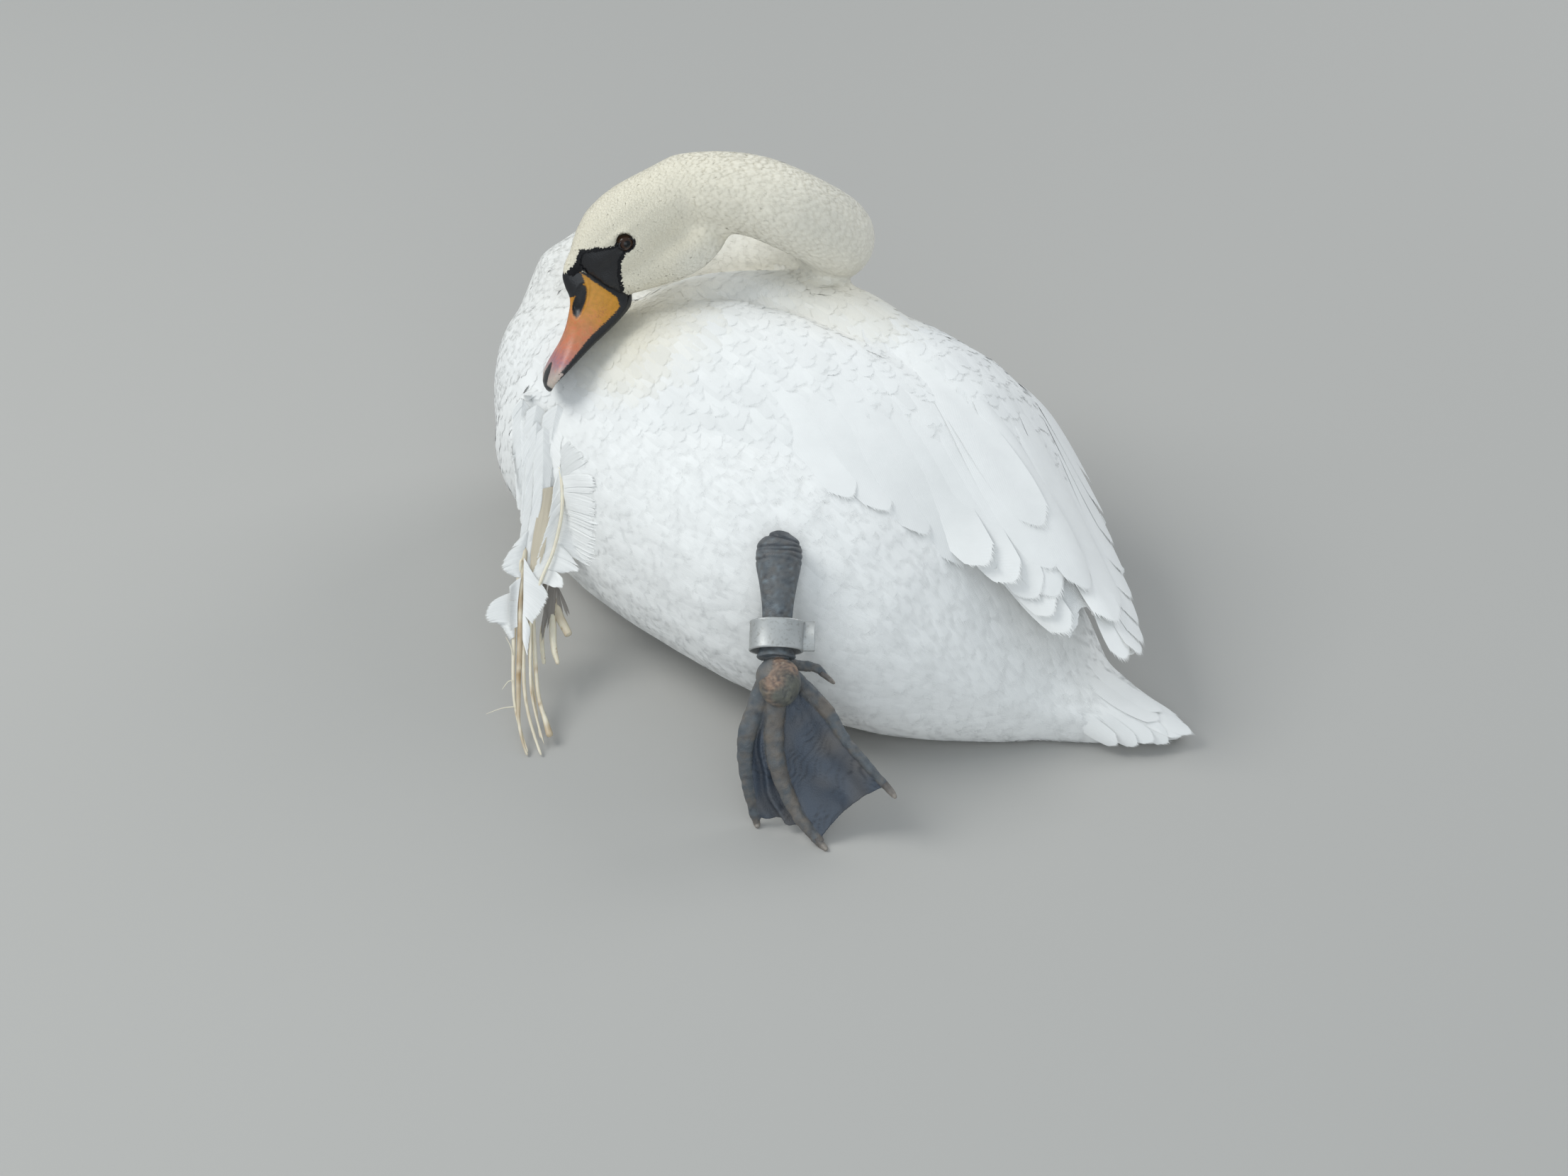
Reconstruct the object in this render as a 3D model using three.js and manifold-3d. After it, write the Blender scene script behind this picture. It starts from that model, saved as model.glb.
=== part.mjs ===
// Mute swan resting on its belly, life size, as one still model.
// Millimetres. -X is ahead of the bird, -Y its left side, +Z up, and z = 0 is the floor.
import * as THREE from 'three';
import { mergeVertices } from 'three/addons/utils/BufferGeometryUtils.js';
import Module from 'manifold-3d';

// ---- driving dimensions -------------------------------------------------------------------
const GAP = 0.3;               // clear space between neighbouring nodes
const GROW = 0.45;             // what a slanting neighbour is grown by to leave that gap
const ROLL = -8;               // degrees the trunk leans onto its right side
const TRUNK_SQUARENESS = [2.1, 2.6];   // oval power of a trunk section above and below
const WELD = 1e-3;             // how close two vertices are merged
const AROUND = {
  trunk: 26, wing: 20, neck: 16, bill: 14, limb: 8, toe: 6, shaft: 4, hand: 12, ring: 28,
};
const STEPS = {
  trunk: 17, tail: 6, wing: 16, neck: [9, 8, 9, 10], bill: 12, limb: 10, toe: 5, web: 3,
  hand: 9, shaft: 5,
};
const BALL_FACETS = [9, 6];    // round the ball, and from pole to pole

// Trunk and tail: [x, y, z, half width, above centre, below centre]
const TRUNK = [
  [-270, -28, 138, 22, 20, 20],
  [-258, -29, 136, 52, 46, 50],
  [-230, -32, 132, 84, 74, 88],
  [-188, -38, 127, 109, 94, 114],
  [-130, -46, 121, 131, 105, 127],
  [-50, -55, 114, 144, 112, 124],
  [40, -61, 105, 150, 116, 112],
  [120, -62, 93, 146, 110, 102],
  [190, -54, 75, 128, 90, 88],
  [245, -39, 53, 97, 56, 66],
  [300, -18, 24, 46, 24, 36],
];
const TAIL = [
  [300, -18, 24, 46, 24, 36],
  [322, -10, 20, 37, 15, 30],
  [345, -2, 16, 28, 9, 22],
  [368, 6, 12, 18, 6, 14],
  [382, 11, 10, 9, 3, 8],
];

// Wings: [x, y, z, slope of the chord in degrees, half chord, half thickness]
const WING_LEFT = [
  [-220, -98, 126, 70, 26, 20],
  [-203, -101, 132, 66, 58, 42],
  [-165, -104, 144, 60, 88, 60],
  [-100, -104, 160, 52, 108, 62],
  [-15, -94, 174, 43, 119, 62],
  [70, -72, 178, 34, 106, 54],
  [140, -38, 176, 24, 80, 42],
  [200, -14, 163, 20, 52, 22],
  [250, -14, 144, 20, 33, 11],
  [288, -27, 121, 20, 22, 6],
  [311, -41, 104, 20, 9, 3],
];
const WING_RIGHT = [
  [-218, 34, 126, 80, 24, 18],
  [-200, 44, 130, 76, 54, 34],
  [-160, 56, 138, 72, 82, 48],
  [-90, 66, 146, 66, 96, 50],
  [-10, 77, 156, 58, 104, 48],
  [70, 84, 163, 50, 104, 47],
  [140, 86, 160, 44, 92, 38],
  [205, 68, 139, 42, 72, 22],
  [262, 40, 114, 34, 50, 11],
  [318, 2, 95, 24, 30, 6],
  [350, -20, 88, 20, 10, 3],
];

// Neck, from inside the breast to behind the head: [x, y, z, half width, above, below]
const NECK = [
  [-190, -25, 148, 72, 74, 74],
  [-206, -20, 188, 60, 60, 60],
  [-186, 6, 216, 46, 46, 46],
  [-140, 46, 227, 38, 38, 38],
  [-90, 74, 239, 36, 36, 36],
  [-36, 80, 263, 34, 34, 34],
  [-7, 55, 297, 33, 33, 33],
  [-17, 23, 327, 33, 33, 33],
  [-52, 4, 340, 33, 33, 33],
  [-93, -20, 337, 33, 33, 34],
];
// Where the spine of neck and head is cut, as parts of its rows
const NECK_CUTS = [0, 0.25, 0.41, 0.61];

// The head's own axes: ahead along the bill, up through the crown, left out of the left eye
const HEAD_ORIGIN = new THREE.Vector3(-120, -79, 315);
const HEAD_AHEAD = new THREE.Vector3(-0.136, -0.721, -0.678).normalize();
const HEAD_LEFT = new THREE.Vector3(0.824, -0.462, 0.326).normalize();
const HEAD_UP = new THREE.Vector3().crossVectors(HEAD_AHEAD, HEAD_LEFT).normalize();
HEAD_LEFT.crossVectors(HEAD_UP, HEAD_AHEAD);

// Head and bill in those axes: [ahead, up, half width, above, below]
const HEAD = [
  [-42, -20, 31, 33, 34],
  [-22, -12, 30, 37, 35],
  [0, -7, 28.5, 39, 36],
  [18, -7, 23, 35, 35],
  [30, -10, 18, 29, 31],
  [42, -11, 15, 25, 27],
];
const FACE = 38;               // plane where the feathered head ends and the bill begins
const BILL = [
  [FACE, -16, 14, 34, 26],
  [46, -18, 14, 33, 23],
  [55, -20, 14, 28, 20],
  [64, -22, 14.5, 22, 17],
  [80, -24, 15.5, 15, 12],
  [100, -24, 17.5, 10, 9],
  [116, -23.5, 18.5, 7, 7],
  [126, -23.5, 15, 4.5, 4.5],
  [130.5, -24, 7, 2.5, 2.5],
];
const BITE_START = [FACE, -34];  // the line between the halves of the bill: [ahead, up]
const BITE_RISE = 0.115;
const CLEAR_OF_HEAD = 130;     // reach of a cutting box that passes the whole head and bill
const EYE_RADIUS = 7.2;
const EYE_OUT = 21.5;          // eye's centre from the middle plane of the head

// Tarsus, hock to ankle: [half width, half depth] at equal steps
const TARSUS = [
  [7, 6], [16.5, 13], [17.5, 14.5], [14.5, 12.5], [12, 10], [11.3, 9.3], [12.2, 10], [15, 12],
];
// Left leg, stretched to the side with the sole outwards
const LEFT_LEG = {
  hock: [124, -172, 189],
  ankle: [170, -233, 128],
  joint: [176, -240, 117],
  pad: [182, -243, 117],
  toes: {
    outer: [[168, -239, 113], [169, -266, 76], [174, -274, 44], [185, -276, 5]],
    middle: [[176, -240, 106], [190, -259, 64], [211, -264, 26], [238, -264, 3]],
    inner: [[179, -226, 112], [211, -223, 92], [230, -225, 76], [270, -222, 46]],
    hallux: [[172, -222, 116], [185, -206, 110], [194, -203, 104]],
  },
  up: [0.4, -0.7, 0.6],
  sag: -5,
};
// Right leg, folded beside the belly with the sole down
const RIGHT_LEG = {
  hock: [206, 52, 38],
  ankle: [118, 92, 15],
  joint: [108, 97, 13],
  pad: [104, 98, 10],
  toes: {
    outer: [[104, 102, 12], [60, 132, 9], [20, 152, 7], [-12, 168, 4]],
    middle: [[100, 98, 12], [52, 112, 10], [4, 126, 8], [-36, 138, 4]],
    inner: [[102, 92, 12], [62, 96, 9], [26, 100, 7], [-14, 106, 4]],
    hallux: [[112, 98, 13], [124, 112, 9], [133, 120, 5]],
  },
  up: [0, 0, 1],
  sag: 2,
};
const FOOT_JOINT_RADIUS = 15;
const FOOT_PAD_RADIUS = 14;
const TOE = { root: 9.5, hallux: 4.75, taper: 0.6, flatness: 0.8, swell: 0.1, knuckles: 3 };
const WEB = { thickness: 2.4, root: 0.04, reach: 0.92, notch: 0.05 };

const RING = { along: 0.83, halfWidth: 20.5, halfDepth: 15.5, height: 23, wall: 1.5, flange: 10 };

// The drooped hand of the left wing: [x, y, z, half width, half thickness]
const HAND = [
  [-150, -150, 190, 12, 8],
  [-134, -168, 168, 22, 10],
  [-122, -181, 142, 23, 10],
  [-118, -190, 116, 19, 9],
  [-121, -197, 92, 13, 6],
  [-120, -204, 76, 4, 3],
];
// The spine that the broken primaries hang along, from the hand to the floor
const HANG = [
  [-101, -191, 166], [-93, -204, 137], [-90, -217, 106], [-83, -234, 80],
  [-68, -257, 60], [-45, -285, 38], [-24, -304, 18], [0, -322, 2],
];
const HANG_ACROSS = new THREE.Vector3(0.777, 0.629, 0);
const HANG_OUT = new THREE.Vector3(0.515, -0.637, 0.574);
// Bare shafts: [start and end along the spine, sideways at start, middle and end]
const SHAFTS = [
  [0.0, 0.62, 9, 16, 1], [0.18, 0.99, 3, -5, -7], [0.4, 1, -4, -8, -4],
  [0.42, 0.98, -1, -3, 3], [0.44, 0.97, 2, 1, 9], [0.46, 0.94, 5, 5, 12],
];
const SHAFT_RADIUS = [2.3, 1.3];   // at the root and at the tip
const VANE_THICKNESS = 1.2;
// Torn vanes: [start and end along the spine, sideways: near and far at start, then at end]
const VANES = [
  [0.1, 0.52, -8, 15, -4, 5], [0.46, 0.62, -2, 15, -1, 4],
  [0.33, 0.45, -19, -5, -24, -3], [0.5, 0.62, -16, 0, -27, 0], [0.31, 0.47, 14, 24, 8, 34],
];

// ---- making solids ------------------------------------------------------------------------
const wasm = await Module();
wasm.setup();

const vec = (p) => new THREE.Vector3(p[0], p[1], p[2]);
const radians = THREE.MathUtils.degToRad;

function signedVolume(points, triangles) {
  let six = 0;
  for (let i = 0; i < triangles.length; i += 3) {
    const [a, b, c] = [points[triangles[i]], points[triangles[i + 1]], points[triangles[i + 2]]];
    six += a.dot(new THREE.Vector3().crossVectors(b, c));
  }
  return six / 6;
}

function solid(points, triangles) {
  if (signedVolume(points, triangles) < 0) triangles.reverse();
  return new wasm.Manifold(new wasm.Mesh({
    numProp: 3,
    vertProperties: Float32Array.from(points.flatMap((p) => [p.x, p.y, p.z])),
    triVerts: Uint32Array.from(triangles),
  }));
}

// A closed solid through rings of equal count, each end capped from its middle
function loft(rings) {
  const count = rings[0].length;
  const points = rings.flat();
  const triangles = [];
  for (let r = 0; r + 1 < rings.length; r += 1) {
    for (let i = 0; i < count; i += 1) {
      const a = r * count + i;
      const b = r * count + (i + 1) % count;
      triangles.push(a, b, a + count, b, b + count, a + count);
    }
  }
  for (const [ring, flip] of [[0, true], [rings.length - 1, false]]) {
    const middle = rings[ring].reduce((sum, p) => sum.add(p), new THREE.Vector3());
    points.push(middle.divideScalar(count));
    for (let i = 0; i < count; i += 1) {
      const a = ring * count + i;
      const b = ring * count + (i + 1) % count;
      triangles.push(...(flip ? [b, a] : [a, b]), points.length - 1);
    }
  }
  return solid(points, triangles);
}

// An oval ring; a power above 2, given for its upper and lower half, squares it off
function oval(centre, side, up, half, above, below, around, powers = [2, 2]) {
  return Array.from({ length: around }, (_, i) => {
    const angle = (2 * Math.PI * i) / around;
    const rise = Math.sin(angle);
    const power = powers[rise > 0 ? 0 : 1];
    const swell = (v) => Math.sign(v) * Math.abs(v) ** (2 / power);
    return centre.clone()
      .addScaledVector(side, swell(Math.cos(angle)) * half)
      .addScaledVector(up, swell(rise) * (rise > 0 ? above : below));
  });
}

// Rows of a table read smoothly: t runs from 0 at the first row to 1 at the last
function smoothRow(rows, t) {
  const place = THREE.MathUtils.clamp(t, 0, 1) * (rows.length - 1);
  const i = Math.min(Math.floor(place), rows.length - 2);
  const f = place - i;
  const row = (k) => rows[THREE.MathUtils.clamp(k, 0, rows.length - 1)];
  return rows[i].map((_, column) => {
    const [a, b, c, d] = [row(i - 1), row(i), row(i + 1), row(i + 2)].map((r) => r[column]);
    return b + 0.5 * f * (c - a + f * (2 * a - 5 * b + 4 * c - d + f * (3 * (b - c) + d - a)));
  });
}

const smoothRows = (rows, steps) => Array.from(
  { length: steps + 1 },
  (_, i) => smoothRow(rows, i / steps),
);

// A thin closed sheet over a grid of points, half its thickness to either side
function sheet(grid, thickness) {
  const last = grid.length - 1;
  const wide = grid[0].length;
  const normal = (i, j) => {
    const along = grid[Math.min(i + 1, last)][j].clone().sub(grid[Math.max(i - 1, 0)][j]);
    const across = grid[i][Math.min(j + 1, wide - 1)].clone().sub(grid[i][Math.max(j - 1, 0)]);
    return along.cross(across).normalize();
  };
  const side = (sign) => grid.flatMap((line, i) => line.map(
    (p, j) => p.clone().addScaledVector(normal(i, j), (sign * thickness) / 2),
  ));
  const points = [...side(1), ...side(-1)];
  const under = points.length / 2;
  const triangles = [];
  const quad = (a, b, c, d) => triangles.push(a, b, c, a, c, d);
  for (let i = 0; i < last; i += 1) {
    for (let j = 0; j + 1 < wide; j += 1) {
      const a = i * wide + j;
      quad(a, a + 1, a + wide + 1, a + wide);
      quad(under + a + wide, under + a + wide + 1, under + a + 1, under + a);
    }
    const left = i * wide;
    const right = left + wide - 1;
    quad(left + wide, under + left + wide, under + left, left);
    quad(right, under + right, under + right + wide, right + wide);
  }
  for (let j = 0; j + 1 < wide; j += 1) {
    const far = last * wide + j;
    quad(j, under + j, under + j + 1, j + 1);
    quad(far + 1, under + far + 1, under + far, far);
  }
  return solid(points, triangles);
}

// One of three.js's own closed shapes as a solid, placed by a matrix
function placed(geometry, matrix) {
  geometry.deleteAttribute('normal');
  geometry.deleteAttribute('uv');
  const merged = mergeVertices(geometry.applyMatrix4(matrix), WELD);
  return new wasm.Manifold(new wasm.Mesh({
    numProp: 3,
    vertProperties: merged.getAttribute('position').array,
    triVerts: Uint32Array.from(merged.index.array),
  }));
}

// A box in its own right-handed axes: [low, high] along each of three directions
function block(origin, axes, spans) {
  const sizes = spans.map(([low, high]) => high - low);
  const middles = spans.map(([low, high]) => (low + high) / 2);
  const matrix = new THREE.Matrix4().makeBasis(...axes).setPosition(origin);
  const box = new THREE.BoxGeometry(...sizes).translate(...middles);
  return placed(box, matrix);
}

function ball(centre, radius) {
  const matrix = new THREE.Matrix4().setPosition(centre);
  return placed(new THREE.SphereGeometry(radius, ...BALL_FACETS), matrix);
}

// A tube along a path, its frame carried along from firstUp; sizes(t) gives
// [half width, above, below]
function tube(path, sizes, steps, around, firstUp, from = 0, to = 1) {
  const up = firstUp.clone();
  const rings = [];
  for (let i = 0; i <= steps; i += 1) {
    const t = from + ((to - from) * i) / steps;
    const ahead = path.getTangent(t);
    up.addScaledVector(ahead, -up.dot(ahead)).normalize();
    const side = new THREE.Vector3().crossVectors(ahead, up);
    rings.push(oval(path.getPoint(t), side, up, ...sizes(t), around));
  }
  return loft(rings);
}

const through = (points) => new THREE.CatmullRomCurve3(points.map(vec), false, 'centripetal');
const joined = (pieces) => pieces.reduce((sum, piece) => sum.add(piece));

// ---- trunk, tail and wings ----------------------------------------------------------------
function bodyLoft(rows, steps, grow = 0) {
  const lean = radians(ROLL);
  const side = new THREE.Vector3(0, Math.cos(lean), Math.sin(lean));
  const up = new THREE.Vector3(0, -Math.sin(lean), Math.cos(lean));
  return loft(smoothRows(rows, steps).map(([x, y, z, half, above, below]) => oval(
    new THREE.Vector3(x, y, z), side, up,
    half + grow, above + grow, below + grow, AROUND.trunk, TRUNK_SQUARENESS,
  )));
}

// side is -1 for the left wing and 1 for the right
function wingLoft(rows, side, grow = 0) {
  return loft(smoothRows(rows, STEPS.wing).map(([x, y, z, slope, half, thick]) => {
    const down = radians(slope);
    const chord = new THREE.Vector3(0, side * Math.cos(down), -Math.sin(down));
    const out = new THREE.Vector3(0, side * Math.sin(down), Math.cos(down));
    return oval(new THREE.Vector3(x, y, z), chord, out,
      half + grow, thick + grow, thick + grow, AROUND.wing);
  }));
}

// ---- neck, head and bill ------------------------------------------------------------------
const inHead = (ahead, up, left = 0) => HEAD_ORIGIN.clone()
  .addScaledVector(HEAD_AHEAD, ahead)
  .addScaledVector(HEAD_UP, up)
  .addScaledVector(HEAD_LEFT, left);

const SPINE = [
  ...NECK,
  ...HEAD.map(([ahead, up, ...sizes]) => [...inHead(ahead, up).toArray(), ...sizes]),
];
const spinePath = {
  getPoint: (t) => vec(smoothRow(SPINE, t)),
  getTangent: (t) => vec(smoothRow(SPINE, Math.min(t + 0.002, 1)))
    .sub(vec(smoothRow(SPINE, Math.max(t - 0.002, 0)))).normalize(),
};

// The up vector at place t, carried back from the head so that the frame never twists
function spineUp(t) {
  const up = HEAD_UP.clone();
  for (let s = 1; s >= t; s -= 0.01) {
    const ahead = spinePath.getTangent(s);
    up.addScaledVector(ahead, -up.dot(ahead)).normalize();
  }
  return up;
}

// A length of the spine; the gap to the next length is taken off its end
function spineTube(from, to, steps) {
  const sizes = (t) => smoothRow(SPINE, t).slice(3);
  const shortened = {
    getTangent: spinePath.getTangent,
    getPoint: (t) => spinePath.getPoint(t)
      .addScaledVector(spinePath.getTangent(t), t < to || to === 1 ? 0 : -GAP),
  };
  return tube(shortened, sizes, steps, AROUND.neck, spineUp(from), from, to);
}

function billLoft() {
  return loft(smoothRows(BILL, STEPS.bill).map(([ahead, up, half, above, below]) => oval(
    inHead(ahead, up), HEAD_LEFT, HEAD_UP, half, above, below, AROUND.bill,
  )));
}

// Everything ahead of the plane where the feathered head ends
const aheadOfFace = () => block(
  inHead(FACE - GAP, 0),
  [HEAD_AHEAD, HEAD_LEFT, HEAD_UP],
  [[0, CLEAR_OF_HEAD], [-CLEAR_OF_HEAD, CLEAR_OF_HEAD], [-CLEAR_OF_HEAD, CLEAR_OF_HEAD]],
);

// The space from below to above the bite line, to cut the bill in two with
function biteSlab(below, above) {
  const along = new THREE.Vector3().copy(HEAD_AHEAD).addScaledVector(HEAD_UP, BITE_RISE).normalize();
  const rise = new THREE.Vector3().crossVectors(along, HEAD_LEFT);
  const wide = [-CLEAR_OF_HEAD, CLEAR_OF_HEAD];
  return block(inHead(...BITE_START), [along, HEAD_LEFT, rise], [wide, wide, [below, above]]);
}

// ---- legs, leg ring -----------------------------------------------------------------------
function tarsus(leg, grow = 0) {
  const sizes = (t) => {
    const [half, deep] = smoothRow(TARSUS, t);
    return [half + grow, deep + grow, deep + grow];
  };
  return tube(through([leg.hock, leg.ankle]), sizes, STEPS.limb, AROUND.limb, vec(leg.up));
}

function toe(points, root, up) {
  const sizes = (t) => {
    const knuckle = 1 + TOE.swell * Math.cos(2 * Math.PI * TOE.knuckles * t);
    const half = root * (1 - TOE.taper * t) * knuckle;
    return [half, half * TOE.flatness, half * TOE.flatness];
  };
  return tube(through(points), sizes, STEPS.toe, AROUND.toe, up);
}

function web(first, second, leg) {
  const [a, b] = [through(first), through(second)];
  const steps = STEPS.web;
  const grid = Array.from({ length: steps + 1 }, (_, i) => {
    const t = WEB.root + (WEB.reach * i) / steps;
    return Array.from({ length: steps + 1 }, (__, j) => {
      const s = j / steps;
      const bow = 4 * s * (1 - s);
      const back = t * (1 - (WEB.notch * bow * i) / steps);
      return a.getPoint(back).lerp(b.getPoint(back), s)
        .addScaledVector(vec(leg.up), leg.sag * bow * t);
    });
  });
  return sheet(grid, WEB.thickness);
}

function foot(leg) {
  const up = vec(leg.up);
  const { outer, middle, inner, hallux } = leg.toes;
  return joined([
    ball(vec(leg.joint), FOOT_JOINT_RADIUS),
    ball(vec(leg.pad), FOOT_PAD_RADIUS),
    toe(outer, TOE.root, up),
    toe(middle, TOE.root, up),
    toe(inner, TOE.root, up),
    toe(hallux, TOE.hallux, up),
    web(outer, middle, leg),
    web(middle, inner, leg),
  ]).subtract(tarsus(leg, GROW));
}

function legRing(leg) {
  const along = vec(leg.ankle).sub(vec(leg.hock)).normalize();
  const out = vec(leg.up);
  out.addScaledVector(along, -out.dot(along)).normalize();
  const side = new THREE.Vector3().crossVectors(out, along);
  const middle = vec(leg.hock).lerp(vec(leg.ankle), RING.along);
  const band = (halfWidth, halfDepth, height) => loft([-0.5, 0.5].map((s) => oval(
    middle.clone().addScaledVector(along, s * height),
    side, out, halfWidth, halfDepth, halfDepth, AROUND.ring,
  )));
  const flange = block(middle, [side, out, along], [
    [RING.halfWidth - RING.wall, RING.halfWidth + RING.flange],
    [-RING.wall, RING.wall],
    [-RING.height / 2, RING.height / 2],
  ]);
  return band(RING.halfWidth, RING.halfDepth, RING.height)
    .add(flange)
    .subtract(band(RING.halfWidth - RING.wall, RING.halfDepth - RING.wall, RING.height * 2));
}

// ---- the drooped hand and its broken primaries --------------------------------------------
function handLoft() {
  const ahead = vec(HAND[HAND.length - 1]).sub(vec(HAND[0])).normalize();
  const out = HANG_OUT.clone().addScaledVector(ahead, -HANG_OUT.dot(ahead)).normalize();
  const side = new THREE.Vector3().crossVectors(ahead, out);
  return loft(smoothRows(HAND, STEPS.hand).map(([x, y, z, half, thick]) => oval(
    new THREE.Vector3(x, y, z), side, out, half, thick, thick, AROUND.hand,
  )));
}

const hangPath = through(HANG);
const hang = (along, across, out = 0) => hangPath.getPoint(along)
  .addScaledVector(HANG_ACROSS, across)
  .addScaledVector(HANG_OUT, out);

function shaft([from, to, start, middle, end]) {
  const path = new THREE.CatmullRomCurve3([0, 0.25, 0.5, 0.75, 1].map((t) => {
    const [across] = smoothRow([[start], [middle], [end]], t);
    return hang(from + (to - from) * t, across);
  }));
  const sizes = (t) => Array(3).fill(THREE.MathUtils.lerp(...SHAFT_RADIUS, t));
  return tube(path, sizes, STEPS.shaft, AROUND.shaft, HANG_OUT);
}

function vane([from, to, nearStart, farStart, nearEnd, farEnd]) {
  const grid = [0, 0.5, 1].map((t) => [0, 1].map((s) => {
    const near = THREE.MathUtils.lerp(nearStart, nearEnd, t);
    const far = THREE.MathUtils.lerp(farStart, farEnd, t);
    return hang(from + (to - from) * t, THREE.MathUtils.lerp(near, far, s));
  }));
  return sheet(grid, VANE_THICKNESS);
}

const brokenPrimaries = () => joined([...SHAFTS.map(shaft), ...VANES.map(vane)]);

// ---- assembling ---------------------------------------------------------------------------
const WORLD = [new THREE.Vector3(1, 0, 0), new THREE.Vector3(0, 1, 0), new THREE.Vector3(0, 0, 1)];
const SPAN = 600;              // further from the origin than any part reaches
const underFloor = block(
  new THREE.Vector3(), WORLD, [[-SPAN, SPAN], [-SPAN, SPAN], [-SPAN, 0]],
);
const model = new THREE.Group();
model.name = 'mute_swan';

function addNode(name, manifold, color, roughness = 0.8) {
  const { numProp, vertProperties, triVerts } = manifold.subtract(underFloor).getMesh();
  const positions = [];
  for (const index of triVerts) {
    positions.push(...vertProperties.slice(index * numProp, index * numProp + 3));
  }
  const geometry = new THREE.BufferGeometry();
  geometry.setAttribute('position', new THREE.Float32BufferAttribute(positions, 3));
  geometry.computeVertexNormals();
  const mesh = new THREE.Mesh(geometry, new THREE.MeshStandardMaterial({ color, roughness }));
  mesh.name = name;
  model.add(mesh);
}

const WHITE = 0xf2f0ea;
const CREAM = 0xefe7d2;
const ORANGE = 0xe4703a;
const SLATE = 0x3b4044;
const DARK = 0x14100d;
const ALUMINIUM = 0xb9bbb8;

const trunkGrown = bodyLoft(TRUNK, STEPS.trunk, GROW);
const leftWingGrown = wingLoft(WING_LEFT, -1, GROW);
const rightWingGrown = wingLoft(WING_RIGHT, 1, GROW);
const wingsGrown = leftWingGrown.add(rightWingGrown);
const bodyGrown = wingsGrown.add(trunkGrown);

const tailRows = TAIL.map(([x, ...row], i) => [i ? x : x + GAP, ...row]);
addNode('trunk', bodyLoft(TRUNK, STEPS.trunk), WHITE);
addNode('tail', bodyLoft(tailRows, STEPS.tail), WHITE);
addNode('wing_left', wingLoft(WING_LEFT, -1).subtract(trunkGrown), WHITE);
addNode('wing_right', wingLoft(WING_RIGHT, 1).subtract(trunkGrown).subtract(leftWingGrown), WHITE);

const [breast, shoulder, turn, nape] = NECK_CUTS;
addNode('neck_lower', spineTube(breast, shoulder, STEPS.neck[0]).subtract(bodyGrown), CREAM);
addNode('neck_middle', spineTube(shoulder, turn, STEPS.neck[1]).subtract(bodyGrown), CREAM);
addNode('neck_upper', spineTube(turn, nape, STEPS.neck[2]).subtract(wingsGrown), CREAM);

const eyes = { left: inHead(0, 0, EYE_OUT), right: inHead(0, 0, -EYE_OUT) };
const sockets = ball(eyes.left, EYE_RADIUS + GROW).add(ball(eyes.right, EYE_RADIUS + GROW));
const headTube = spineTube(nape, 1, STEPS.neck[3]);
addNode('head', headTube.subtract(sockets).subtract(aheadOfFace()), CREAM);
addNode('eye_left', ball(eyes.left, EYE_RADIUS), DARK, 0.1);
addNode('eye_right', ball(eyes.right, EYE_RADIUS), DARK, 0.1);
addNode('bill_upper', billLoft().subtract(biteSlab(-80, GAP / 2)), ORANGE, 0.5);
addNode('bill_lower', billLoft().subtract(biteSlab(-GAP / 2, 80)), ORANGE, 0.5);

addNode('leg_left', tarsus(LEFT_LEG).subtract(trunkGrown), SLATE);
addNode('foot_left', foot(LEFT_LEG), SLATE);
addNode('leg_ring', legRing(LEFT_LEG), ALUMINIUM, 0.4);
addNode('leg_right', tarsus(RIGHT_LEG).subtract(trunkGrown), SLATE);
addNode('foot_right', foot(RIGHT_LEG).subtract(trunkGrown), SLATE);

addNode('wing_left_hand', handLoft().subtract(bodyGrown), WHITE);
addNode('wing_left_primaries', brokenPrimaries().subtract(bodyGrown), WHITE);

export default model;
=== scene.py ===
"""Looks of a life-size mute swan that rests on its belly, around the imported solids.

Shapes are worked out in millimetres and written in metres. -X is ahead of the bird, -Y its left
side, +Z up, and z = 0 is the floor.
"""
import math

import bpy
import numpy as np
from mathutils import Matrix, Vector, noise
from mathutils.bvhtree import BVHTree


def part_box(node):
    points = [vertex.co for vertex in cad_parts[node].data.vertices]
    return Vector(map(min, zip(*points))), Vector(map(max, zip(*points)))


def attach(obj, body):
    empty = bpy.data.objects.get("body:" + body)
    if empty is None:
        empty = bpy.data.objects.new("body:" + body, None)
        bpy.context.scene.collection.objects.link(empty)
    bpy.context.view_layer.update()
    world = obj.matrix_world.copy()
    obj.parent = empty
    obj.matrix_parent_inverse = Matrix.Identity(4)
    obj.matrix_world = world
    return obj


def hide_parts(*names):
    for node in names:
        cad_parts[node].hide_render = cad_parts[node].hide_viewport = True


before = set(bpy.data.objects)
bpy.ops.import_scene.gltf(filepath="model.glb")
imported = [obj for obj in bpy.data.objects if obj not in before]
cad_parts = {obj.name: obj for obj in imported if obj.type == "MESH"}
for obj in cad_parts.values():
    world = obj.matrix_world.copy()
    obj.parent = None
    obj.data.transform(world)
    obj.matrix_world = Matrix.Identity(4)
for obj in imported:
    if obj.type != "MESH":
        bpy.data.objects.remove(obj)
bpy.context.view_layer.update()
MM = 0.001
RNG = np.random.default_rng(20)

# ---- named values, in millimetres ---------------------------------------------------------------
# The neck's spine, from inside the breast to behind the head
NECK_SPINE = [
    [-190, -25, 148], [-206, -20, 188], [-186, 6, 216], [-140, 46, 227], [-90, 74, 239],
    [-36, 80, 263], [-7, 55, 297], [-17, 23, 327], [-52, 4, 340], [-93, -20, 337],
]
HEAD_ORIGIN = np.array([-120.0, -79.0, 315.0])


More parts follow.
